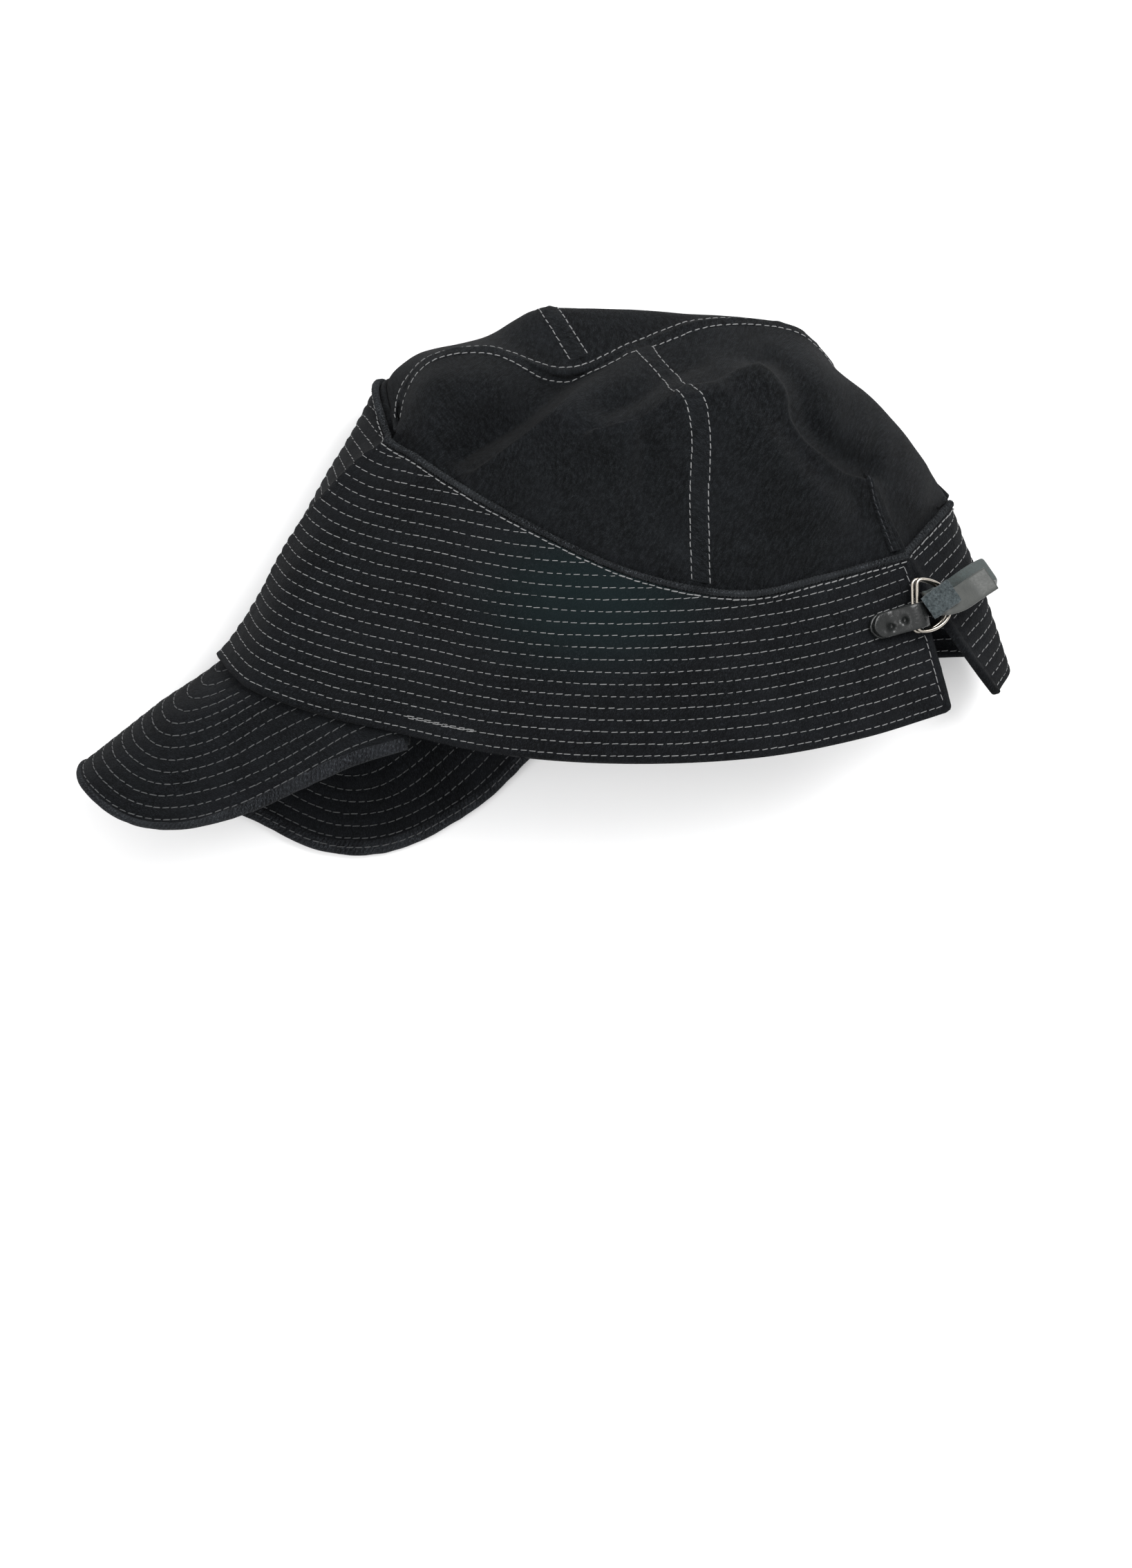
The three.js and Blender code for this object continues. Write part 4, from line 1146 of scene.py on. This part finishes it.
def seam_strip(name, lines, material, node, thread_material, row_inset=1.1, rows_on=(-1, 1), rise=0.0):
    """A felled seam on the crown: lines is (along, across, 3), the cloth under it."""
    base = grid_normals(lines)
    cols = lines.shape[1]
    across = np.linspace(-1, 1, cols)
    run = run_along(lines[:, cols // 2])
    profile = (1 - np.abs(across) ** 12) * (SEAM_RISE + rise) - SEAM_SUNK
    ridge = np.exp(-(((across - SEAM_RIDGE["at"]) / SEAM_RIDGE["wide"]) ** 2))
    profile = profile + SEAM_RIDGE["high"] * ridge
    width = np.linalg.norm(lines[:, -1] - lines[:, 0], axis=-1).mean()
    off_row = np.abs(across) * width / 2 - (width / 2 - row_inset)
    stitched = np.exp(-((off_row / SEAM_GROOVE["wide"]) ** 2)) * SEAM_GROOVE["deep"]
    pucker = 0.0
    for far, length, often, seed in SEAM_PUCKERS:
        pucker = pucker + far * noise(run[:, None] / length, across * often, seed)
    height = profile - stitched + pucker * (1 - np.abs(across) ** 4)
    outer = flatten(lines + base * height[..., None], SEAM_CLEAR)
    inner = flatten(lines - base * SEAM_UNDER, SEAM_CLEAR)
    piece = shell(name, outer, inner, flat_cloth(run[:, None], across * width / 2))
    dress(piece, material, [node])
    sewing = []
    top = grid_normals(outer)
    for side in rows_on:
        share = side * (1 - 2 * row_inset / width)
        position = (share + 1) / 2 * (cols - 1)
        j = int(position)
        t = position - j
        path = outer[:, j] * (1 - t) + outer[:, min(j + 1, cols - 1)] * t
        sewing.append((path, top[:, j]))
    stitches(name + "_stitches", sewing, thread_material, **SEAM_SEWING)


def lines_across(surface, place, shares, width):
    """Points across a seam that runs along one crown section. The width may be one for each share."""
    reach = np.linalg.norm(surface(place - 0.1, shares) - surface(place + 0.1, shares), axis=-1) / 0.2
    half = width / 2 / reach
    across = np.linspace(-1, 1, 17)
    at = place + half[:, None] * across[None, :]
    share = np.broadcast_to(shares[:, None], at.shape)
    return softened(surface(at, share), share)


def sagittal_lines():
    back, front = CROWN_LAST - LONG_SEAM_ENDS["back"], LONG_SEAM_ENDS["front"]
    places = np.linspace(back, front, LONG_SEAM_POINTS)
    half = SEAM_WIDTH / 2
    near_reach = np.linalg.norm(near_crown(places, 0.9) - near_crown(places, 1.0), axis=-1) / 0.1
    far_reach = np.linalg.norm(far_crown(places, 0.0) - far_crown(places, 0.1), axis=-1) / 0.1
    near_half = np.minimum(LONG_SEAM_MOST, half / near_reach)
    far_half = np.minimum(LONG_SEAM_MOST, half / far_reach)
    steps = np.linspace(0, 1, 9)
    near = near_crown(places[:, None], 1 - near_half[:, None] * steps[None, ::-1])
    far = far_crown(places[:, None], far_half[:, None] * steps[None, 1:])
    return np.concatenate([near, far], axis=1)


def make_crown(cloth_material, seam_material, thread_material, dim_thread):
    panels = [
        ("crown_panel_front_near", near_crown, 0, CORONAL, True, "crown_front_near"),
        ("crown_panel_back_near", near_crown, CORONAL, CROWN_LAST, True, "crown_back_near"),
        ("crown_panel_front_far", far_crown, 0, FAR_CORONAL, False, "crown_front_far"),
        ("crown_panel_back_far", far_crown, FAR_CORONAL, CROWN_LAST, False, "crown_back_far"),
    ]
    for name, surface, low, high, near_side, node in panels:
        make_panel(name, surface, low, high, near_side, cloth_material, node)
    near = lines_across(near_crown, CORONAL, np.linspace(*NEAR_SEAM_SHARES, 320), SEAM_WIDTH)
    seam_strip("seam_side_near", near, seam_material, "seam_coronal_near", thread_material)
    far = lines_across(far_crown, FAR_CORONAL, np.linspace(*FAR_SEAM_SHARES, 200), SEAM_WIDTH)
    seam_strip("seam_side_far", far, seam_material, "seam_coronal_far", thread_material)
    dart = lines_across(near_crown, DART, np.linspace(*DART_SHARES, 90), np.linspace(*DART_WIDTHS, 90))
    seam_strip("seam_dart", dart, seam_material, "seam_back_dart", dim_thread, 0.8, (-1,), 1.2)
    lines = evened(sagittal_lines(), 6, axis=1)
    seam_strip("seam_long", lines, seam_material, "seam_sagittal", thread_material)


# Bill

# The flat pattern is measured out from the bill's root along the fold, and across the fold
BILL_ROOT = np.array([-132.6, -32.5])
FOLD_ANGLE = math.atan2(-41.5, -53)
fold_out = np.array([math.cos(FOLD_ANGLE), math.sin(FOLD_ANGLE)])
fold_aside = np.array([-fold_out[1], fold_out[0]])
BILL_SECTIONS = table(
    "place bandAt innerOut innerAcross outerOut outerAcross",
    [
        ("near_tip", 4.85, -40, 82.5, -36.5, 88),
        ("near_side", 5.35, -30.9, 75, 2.5, 79.3),
        ("near_middle", 5.73, -23.7, 66, 30, 72),
        ("near_corner", 6.37, -12.4, 51, 53.5, 60),
        ("near_front", 6.75, -7.1, 42, 67.3, 44),
        ("near_centre", 7.3, -3.7, 26, 71.5, 19),
        ("fold", 8, -2.6, 0, 65.8, -3),
        ("far_centre", 8.9, -5, -27, 57, -25),
        ("far_front", 10, -11.3, -48.5, 43, -51),
        ("far_corner", 10.4, -20, -62.5, 28, -74),
        ("far_middle", 10.75, -32, -76.5, 12.5, -103.5),
        ("far_side", 11.25, -49.5, -92.5, -9, -120.5),
        ("far_flank", 11.75, -69.4, -106, -45, -128),
        ("far_tip", 12.25, -92, -118.5, -86, -126),
    ],
)
BILL_LAST = len(BILL_SECTIONS) - 1
bill_band = rail(column(BILL_SECTIONS, "bandAt"))
bill_inner = rail(column(BILL_SECTIONS, "innerOut", "innerAcross"))
bill_outer = rail(column(BILL_SECTIONS, "outerOut", "outerAcross"))
TUCK = 1.5  # the bill's root reaches this far up inside the band
TUCK_HOLD = 6.0  # it follows the band this far out
TUCK_EASE = 30.0  # and its own fold from here on
TUCK_CLEAR = 1.0  # between the bill and the band's inner face


def fold_over(pattern):
    """Lays points of the flat pattern over the fold."""
    quarter = BILL_FOLD_RADIUS * math.pi / 2
    out, across = pattern[..., 0], pattern[..., 1]
    bent = np.clip(across, -quarter, quarter) / BILL_FOLD_RADIUS
    beyond = np.maximum(0, np.abs(across) - quarter)
    aside = BILL_FOLD_RADIUS * (1 - np.cos(bent)) + beyond
    rise = np.where(across > 0, beyond * BILL_RISE, 0)
    height = BILL_FOLD_HEIGHT + BILL_FOLD_RADIUS * np.sin(bent) + rise
    plan = BILL_ROOT + fold_out * out[..., None] + fold_aside * aside[..., None]
    return np.concatenate([plan, height[..., None]], axis=-1)


def bill_edge(at, inset):
    """The flat pattern's outline, moved in by an inset square to it."""
    at = np.asarray(at, float)
    run = unit(bill_outer(at + 0.03) - bill_outer(at - 0.03))
    return bill_outer(at) + np.stack([run[..., 1], -run[..., 0]], -1) * np.asarray(inset)[..., None]


def bill_shift(at, pattern):
    """The pull that tucks the bill into the band near its root."""
    tucked = band_point(bill_band(at)[..., 0], TUCK, BAND_WALL + TUCK_CLEAR)
    shift = tucked - fold_over(bill_inner(at))
    away = np.linalg.norm(bill_inner(at) - pattern, axis=-1)
    return shift * (1 - smoothstep(away, TUCK_HOLD, TUCK_EASE))[..., None]


outline = bill_outer(np.linspace(0, BILL_LAST, 900))
BATCH = 4000  # points measured at a time


def outline_distance(pattern):
    """True distance from points of the flat pattern to the bill's outer edge."""
    flat = pattern.reshape(-1, 2)
    nearest = np.empty(len(flat))
    for start in range(0, len(flat), BATCH):
        gap = flat[start:start + BATCH, None] - outline
        nearest[start:start + BATCH] = np.sqrt((gap**2).sum(-1).min(axis=1))
    return nearest.reshape(pattern.shape[:-1])


# The bound edge widens toward both tips, by place across
BINDING = {"narrow": 3.2, "wide": 6.2, "near": (62.0, 84.0), "far": (18.0, 42.0)}
BILL_FIRST_ROW = BINDING["narrow"] + 0.5  # from the outer edge
BILL_RIBS = 0.9  # the bill's ribs are this share of the band's
BILL_POINTS = (301, 99)  # of the grid: along the edge, and from the root to the edge
MOST_BILL_ROWS = 16
SHORTEST_ROW = 6  # points, so shorter ends of a row aren't sewn
ROWS_EASED = 84  # passes that take the corners out of the rows
BINDING_ENDS = (0.12, 0.02)  # sections that the binding stops short of the far tip, and of the near one
BINDING_POINTS = 640
BINDING_CORNERS = 20
BILL_UNDER_BINDING = 2.2  # the quilted cloth goes on under the binding, to this far from the outer edge


def binding_width(pattern):
    share = smoothstep(pattern[..., 1], *BINDING["near"]) + smoothstep(-pattern[..., 1], *BINDING["far"])
    return BINDING["narrow"] + (BINDING["wide"] - BINDING["narrow"]) * share


def bill_grid():
    along, across = BILL_POINTS
    at, share = np.meshgrid(np.linspace(BILL_LAST, 0, along), np.linspace(0, 1, across), indexing="ij")
    edge = bill_edge(at, np.full(at.shape, BILL_UNDER_BINDING))
    pattern = bill_inner(at) * (1 - share[..., None]) + edge * share[..., None]
    return at, pattern


def make_bill(material, thread_material):
    at, pattern = bill_grid()
    shift = bill_shift(at, pattern)
    plain = flatten(fold_over(pattern) + shift)
    normals = grid_normals(plain)
    distance = outline_distance(pattern) - (binding_width(pattern) - BINDING["narrow"])
    distance = evened(distance, ROWS_EASED)
    out, across = pattern[..., 0], pattern[..., 1]
    rib = rib_height(distance - BILL_FIRST_ROW + uneven_by(BILL_WANDER, out, across))
    relief = (rib - 1) * RIB_DEPTH * BILL_RIBS + uneven_by(BILL_SLACK, out, across) * rib
    outer = flatten(plain + normals * relief[..., None])
    inner = plain - normals * (BILL_WALL + relief)[..., None]
    piece = shell("bill_quilted", outer, inner, flat_cloth(out, across))
    dress(piece, material, ["bill"])

    top_rows = contour_rows(distance, outer, normals)
    under_rows = contour_rows(distance, inner, -normals)
    stitches("bill_stitches", top_rows, thread_material, **BILL_SEWING)
    stitches("bill_under_stitches", under_rows, thread_material, corners=HIDDEN_CORNERS, **BILL_SEWING)


def contour_rows(distance, grid, normals):
    """Rows of sewing at even distances from the bill's edge, read across each line of the grid."""
    rows = []
    lines = np.arange(distance.shape[0])
    for k in range(MOST_BILL_ROWS):
        level = BILL_FIRST_ROW + k * ROW_PITCH
        beyond = distance >= level
        crossed = beyond[:, :-1] & ~beyond[:, 1:]
        found = crossed.any(axis=1)
        j = np.where(found, crossed.shape[1] - 1 - crossed[:, ::-1].argmax(axis=1), 0)
        before, after = distance[lines, j], distance[lines, j + 1]
        t = ((before - level) / np.maximum(before - after, 1e-6))[:, None]
        points = grid[lines, j] * (1 - t) + grid[lines, j + 1] * t
        ups = unit(normals[lines, j] * (1 - t) + normals[lines, j + 1] * t)
        for start, stop in stretches(found):
            if stop - start > SHORTEST_ROW:
                rows.append((evened(points[start:stop], 2), ups[start:stop]))
    return rows


def make_binding(material, thread_material):
    far, near = BINDING_ENDS
    at = np.linspace(BILL_LAST - far, near, BINDING_POINTS)
    width = binding_width(bill_outer(at))
    # three lines along the binding, of which the middle one carries the tube
    at_grid, inset = np.meshgrid(at, [0.75, 0.5, 0.25], indexing="ij")
    pattern = bill_edge(at_grid, inset * width[:, None])
    grid = flatten(fold_over(pattern) + bill_shift(at_grid, pattern))
    ups = grid_normals(grid)[:, 1]
    centres = flatten(grid[:, 1] - ups * BILL_WALL / 2, BINDING_THICKNESS / 2)
    sides = unit(np.cross(ups, np.gradient(centres, axis=0)))
    run = run_along(centres)
    swell = 1 + 0.05 * noise(run / 4, 0, 31) + 0.04 * noise(run / 15, 0, 32)
    half_width, half_height = width / 2 * swell, BINDING_THICKNESS / 2 * swell
    piece = one_tube("bill_bound_edge", centres, sides, ups, half_width, half_height, BINDING_CORNERS)
    dress(piece, material, ["bill_binding"])
    # one row of sewing shows on the wide part of the far lobe's edge
    sewn = pattern[:, 1, 1] < -BINDING["far"][0]
    facing = ups * np.sign(ups[:, 2:])
    points = centres + facing * BINDING_THICKNESS / 2
    stitches("bill_edge_stitches", [(points[sewn], facing[sewn])], thread_material, **BILL_SEWING)


# Back fastening

TAB_BAR = {"at": 0.19, "up": 40.7}  # where the rings' bars cross the near end of the band
TAB_PLANE_AT = 0.35  # the place along the band whose face the tab and the rings lie along
# How the tab, the rings and the strap lie in plan, in radians from the cap's front-to-back line
TAB_TURN = 0.27
RING_TURN = 0.02
STRAP_TURN = 0.61
RING_CLEAR = 3.5  # the lower ring's wire above the band
RING_STACK = 2.3  # the upper ring's wire above the lower one's
RING_SHIFT = 1.0  # and this much further along
RING_BACK = -0.2  # both lie this far along, from the tab's root
RING_RAISE = 4.2  # both rings have slid this far across the tab
# The tab's middle line: along the band and above it
TAB_PATH = [
    (-19.4, 2.4), (-10, 1.8), (0.6, 1.4), (2.9, 2.5), (3.8, 4.9), (2.9, 7.5),
    (0.3, 8.6), (-2.7, 8.2), (-6.5, 5.8), (-9.5, 4), (-18.5, 4.7),
]
STRAP_PATH = table(
    "place x y above",
    [
        ("free_end", 176.4, 0.1, 7.5),
        ("free_run", 170.5, -3.7, 6.9),
        ("over_rings", 162.5, -8.8, 9.3),
        ("turn_top", 155.2, -10.6, 9.5),
        ("turn", 151.9, -9.7, 5),
        ("turn_bottom", 153.8, -9, 0.5),
        ("under_rings", 160.8, -5.4, 0.2),
        ("under_run", 166.8, -1.2, 2.6),
    ],
)
KEEPER_RAGGED = 0.05  # its cut edge wanders by this share of its half width
KEEPER_PATH = table(
    "place x y above",
    [
        ("right_end", 161.6, -4.9, 11.1),
        ("middle", 157, -8, 11.5),
        ("left", 153, -10.9, 11.8),
        ("left_curl", 151.2, -12.3, 11),
    ],
)
# Dents in the tab's upper layer, and low swellings beside them
TAB_DENTS = table(
    "place x y radius depth",
    [
        ("left_dent", 136.7, -19.2, 1.3, 2.2),
        ("right_dent", 142.2, -16.7, 1.3, 2.0),
        ("between", 139.4, -18.4, 1.3, -0.7),
        ("below", 135.2, -22, 1.2, -0.4),
    ],
)
# Past the rings the strap drops behind the band's far end and is sewn there: points, then places on the
# band with how far the strap's middle lies off its outer face
STRAP_DROP = [(173, 2.6, 50), (175.8, 3.6, 42)]
STRAP_OFF_BAND = LEATHER / 2 + GAP + 0.7
STRAP_SEWN = table(
    "bandAt up off",
    [(16.8, 36, STRAP_OFF_BAND + 0.6), (16.5, 35, STRAP_OFF_BAND)],
)
tab_root = band_point(TAB_BAR["at"], TAB_BAR["up"])
tab_up = band_out(TAB_PLANE_AT)


def along_band(turn):
    """A direction in plan, laid along the band's face at its near end."""
    run = np.array([math.cos(turn), math.sin(turn), 0.0])
    return unit(run - tab_up * run.dot(tab_up))


def above_plane(rows):
    """Points given in plan, at heights above the plane that the tab lies in."""
    made = []
    for row in rows:
        fall = tab_up[0] * (row["x"] - tab_root[0]) + tab_up[1] * (row["y"] - tab_root[1])
        made.append((row["x"], row["y"], tab_root[2] - fall / tab_up[2] + row["above"]))
    return np.array(made)


def even_curve(path, count):
    """Evenly spaced points on a smooth curve through a path."""
    fine = spline(np.asarray(path, float), np.linspace(0, len(path) - 1, 4000))
    distance = run_along(fine)
    at = np.linspace(0, distance[-1], count)
    return read_at(at, distance, fine), at


# Across a strap: points on each side, how flat its faces are, how square its edges, and its narrowest tip
STRAP_FORM = {"points": 19, "flat": 7, "edge": 0.28, "tip": 0.3}
RETURNED = 0.6  # past this share of its length, a looped strap lies on top


def leather_strap(
    name, path, across, material, node, square_ends=(False, False), uneven=0.0, count=160, dents=(),
):
    """A flat strap with soft edges, its width along "across". Dents are read in plan."""
    centres, run = even_curve(path, count)
    tangent = unit(np.gradient(centres, axis=0))
    up = unit(np.cross(across, tangent))
    radius = STRAP_WIDTH / 2
    halves = np.full(count, radius)
    for end, square in enumerate(square_ends):
        to_end = run if end == 0 else run[-1] - run
        if not square:
            inset = np.clip(1 - to_end / radius, 0, 1)
            halves = np.minimum(halves, radius * np.maximum(STRAP_FORM["tip"], np.sqrt(1 - inset**2)))
    steps = np.sin(np.linspace(np.pi / 2, -np.pi / 2, STRAP_FORM["points"]))
    wide = np.concatenate([steps, steps[-2:0:-1]])
    upper_side = np.arange(len(wide)) < len(steps)
    thick = np.clip(1 - np.abs(wide) ** STRAP_FORM["flat"], 0, 1) ** STRAP_FORM["edge"]
    thick = thick * np.where(upper_side, 1, -1)
    ragged = 1 + uneven * noise(run[:, None] / 1.3, np.sign(wide)[None, :] * 3 + 5, 41)
    ring = (
        centres[:, None]
        + across * (wide[None, :] * halves[:, None] * ragged)[..., None]
        + up[:, None] * (thick * LEATHER / 2)[None, :, None]
    )
    returned = (run > run[-1] * RETURNED)[:, None]
    for dent in dents:
        away = np.hypot(ring[..., 0] - dent["x"], ring[..., 1] - dent["y"]) / dent["radius"]
        ring[..., 2] -= dent["depth"] * np.exp(-(away**2)) * returned
    vertices = ring.reshape(-1, 3)
    corners = len(wide)
    j = np.arange(corners)
    a = np.arange(count - 1)[:, None] * corners + j
    b = np.arange(count - 1)[:, None] * corners + (j + 1) % corners
    faces = np.stack([a, a + corners, b + corners, b], -1).reshape(-1, 4).tolist()
    faces.append(j.tolist())
    faces.append(((count - 1) * corners + j[::-1]).tolist())
    cloth = np.zeros((count, corners, 3))
    cloth[..., 0] = run[:, None]
    cloth[..., 1] = wide * radius
    cloth[..., 2] = upper_side.astype(float)
    piece = make_object(name, vertices, faces, cloth.reshape(-1, 3))
    dress(piece, material, [node])


def ring_path():
    """A D-shaped wire's centre line, its flat bar at x = 0 and its curve toward +x."""
    half_bar = RING_WIDTH / 2 - RING_CORNER
    reach = RING_LENGTH - RING_CORNER
    bar = [(0, y) for y in np.linspace(-half_bar, half_bar, 24, endpoint=False)]
    corner = [
        (RING_CORNER * (1 - math.cos(angle)), half_bar + RING_CORNER * math.sin(angle))
        for angle in np.linspace(0, math.pi / 2, 8, endpoint=False)
    ]
    curve = [
        (RING_CORNER + reach * math.cos(angle), RING_WIDTH / 2 * math.sin(angle))
        for angle in np.linspace(math.pi / 2, -math.pi / 2, 60, endpoint=False)
    ]
    last_corner = [
        (RING_CORNER * (1 - math.cos(angle)), -half_bar - RING_CORNER * math.sin(angle))
        for angle in np.linspace(math.pi / 2, 0, 8, endpoint=False)
    ]
    return np.array(bar + corner + curve + last_corner)


def make_rings(material):
    flat = ring_path()
    run = along_band(RING_TURN)
    across = unit(np.cross(tab_up, run))
    for index in (0, 1):
        origin = (
            tab_root
            + tab_up * (RING_CLEAR + index * RING_STACK)
            + run * ((index - 0.5) * RING_SHIFT + RING_BACK)
            + across * RING_RAISE
        )
        centres = origin + run * flat[:, :1] + across * flat[:, 1:]
        ahead = np.roll(centres, -1, axis=0) - np.roll(centres, 1, axis=0)
        ups = np.broadcast_to(tab_up, centres.shape)
        sides = unit(np.cross(ups, ahead))
        name = "ring_wire_" + str(index + 1)
        piece = tubes(
            name, centres[None], sides[None], ups[None], RING_WIRE_RADIUS, RING_WIRE_RADIUS, WIRE_CORNERS,
            closed=True, along=np.zeros((1, len(centres))),
        )
        dress(piece, material, ["d_ring_" + str(index + 1)])


def make_fastening(tab_grain, grain, nap, metal):
    tab_run = along_band(TAB_TURN)
    tab_across = unit(np.cross(tab_up, tab_run))
    tab = [tab_root + tab_run * out + tab_up * up for out, up in TAB_PATH]
    leather_strap(
        "tab_strap", tab, tab_across, tab_grain, "tab_leather", count=260, dents=TAB_DENTS,
    )
    strap_across = np.array([-math.sin(STRAP_TURN), math.cos(STRAP_TURN), 0.0])
    sewn = [band_point(p["bandAt"], p["up"], -p["off"]) for p in STRAP_SEWN]
    strap = np.concatenate([above_plane(STRAP_PATH), STRAP_DROP, sewn])
    leather_strap("back_strap", strap, strap_across, grain, "strap_leather", (True, False))
    keeper = above_plane(KEEPER_PATH)
    leather_strap(
        "suede_keeper", keeper, strap_across, nap, "strap_keeper", (True, True), KEEPER_RAGGED,
    )
    make_rings(metal)


# Studio

PHOTO_HEIGHT = 621.4  # millimetres of the surface that the frame takes in
VIEW_CENTRE = (8.2, -81.4)
CAMERA_DISTANCE = 8000.0
MIDDLE_HEIGHT = 50.0  # where the frame is as tall as the photo's
SENSOR = 36.0
SKY_FROM = -0.2  # the sine of the angle where the sky begins, just under the horizon
SKY = (0.28, 1.5)  # its brightness there, and overhead
FLOOR_HALF = 6.0  # metres
FLOOR_DROP = 0.0003  # metres that the surface lies under the part's ground
SURFACE = ((0.93, 0.93, 0.935, 1), (0.95, 0.95, 0.95, 1))
LIGHTS = table(
    "name place size energy",
    [("key", (0.75, 0.85, 1.45), 1.0, 29), ("fill", (-1.15, -0.45, 1.5), 1.2, 8)],
)


def make_surface():
    mesh = bpy.data.meshes.new("floor")
    corners = [(x * FLOOR_HALF, y * FLOOR_HALF, 0) for x, y in ((-1, -1), (1, -1), (1, 1), (-1, 1))]
    mesh.from_pydata(corners, [], [(0, 1, 2, 3)])
    floor = add_object("floor", mesh)
    floor.location.z = -FLOOR_DROP
    n = Nodes("white_surface")
    white = n.mix(n.noise(n.place(), 30, 2, 0.5), *SURFACE)
    mesh.materials.append(n.finish(Base_Color=white, Roughness=0.9, Specular_IOR_Level=0.0))


def make_sky():
    world = bpy.data.worlds.new("studio")
    bpy.context.scene.world = world
    world.use_nodes = True
    nodes, links = world.node_tree.nodes, world.node_tree.links
    background = nodes["Background"]
    background.inputs[0].default_value = (1.0, 1.0, 1.0, 1.0)
    direction = nodes.new("ShaderNodeSeparateXYZ")
    brighter_above = nodes.new("ShaderNodeMapRange")
    for socket, number in zip(brighter_above.inputs[1:5], (SKY_FROM, 1.0, *SKY)):
        socket.default_value = number
    links.new(nodes.new("ShaderNodeTexCoord").outputs["Generated"], direction.inputs[0])
    links.new(direction.outputs[2], brighter_above.inputs[0])
    links.new(brighter_above.outputs[0], background.inputs[1])


def make_studio():
    make_surface()
    make_sky()
    for row in LIGHTS:
        light = bpy.data.lights.new(row["name"], "AREA")
        light.size = row["size"]
        light.energy = row["energy"]
        lamp = add_object(row["name"], light)
        lamp.location = row["place"]
        lamp.rotation_mode = "QUATERNION"
        lamp.rotation_quaternion = lamp.location.to_track_quat("Z", "Y")
    lens = bpy.data.cameras.new("camera")
    lens.sensor_width = SENSOR
    lens.lens = SENSOR * (CAMERA_DISTANCE - MIDDLE_HEIGHT) / PHOTO_HEIGHT
    lens.clip_end = 100.0
    camera = add_object("camera", lens)
    camera.location = (VIEW_CENTRE[0] * MM, VIEW_CENTRE[1] * MM, CAMERA_DISTANCE * MM)
    bpy.context.scene.camera = camera
    bpy.context.scene.view_settings.view_transform = "Standard"


CROWN_BASE = colour(49, 52, 55)
CROWN_PALE = colour(46, 49, 53)
BAND_BASE = colour(36, 38, 41)
BAND_PALE = colour(44, 47, 51)
TEAL = colour(28, 44, 46)

crown_denim = denim("crown_denim", CROWN_BASE, CROWN_PALE, flecks=0.35, mottled=0.7, broad=0.8)
seam_denim = denim("seam_denim", CROWN_BASE, colour(50, 53, 57), flecks=0.8, mottled=0.8, broad=0.8)
band_denim = denim("band_denim", BAND_BASE, BAND_PALE, flecks=0.75, teal=TEAL)
rope_denim = denim(
    "rope_denim", colour(50, 53, 57), colour(90, 94, 98),
    flecks=1.0, twill=0.85, mottled=0.6, broad=0.6, pitch=1.5,
)
bill_denim = denim("bill_denim", BAND_BASE, BAND_PALE, flecks=0.6)
binding_denim = denim(
    "binding_denim", colour(52, 54, 58), colour(82, 86, 91),
    flecks=0.8, twill=0.85, mottled=0.4, broad=0.4, pitch=1.8,
)
grey_thread = thread("grey_thread", colour(165, 167, 169), colour(200, 200, 199))
bill_thread = thread("bill_thread", colour(100, 102, 104), colour(124, 125, 126))
dark_thread = thread("dark_thread", colour(62, 65, 69), colour(84, 86, 90))
tab_leather = leather("tab_leather", colour(43, 45, 45), colour(30, 32, 32), 0.22, 0.34, creased=True)
grain_leather = leather(
    "grain_leather", colour(100, 102, 99), colour(84, 87, 85), 0.38, 0.25, nap=colour(96, 108, 108),
)
suede_leather = suede("suede_leather", colour(48, 56, 59), colour(112, 122, 125))
wire = nickel()

make_studio()
make_band(band_denim)
make_band_stitches(grey_thread)
make_rope(rope_denim)
make_crown(crown_denim, seam_denim, grey_thread, dark_thread)
make_bill(bill_denim, bill_thread)
make_binding(binding_denim, bill_thread)
make_fastening(tab_leather, grain_leather, suede_leather, wire)
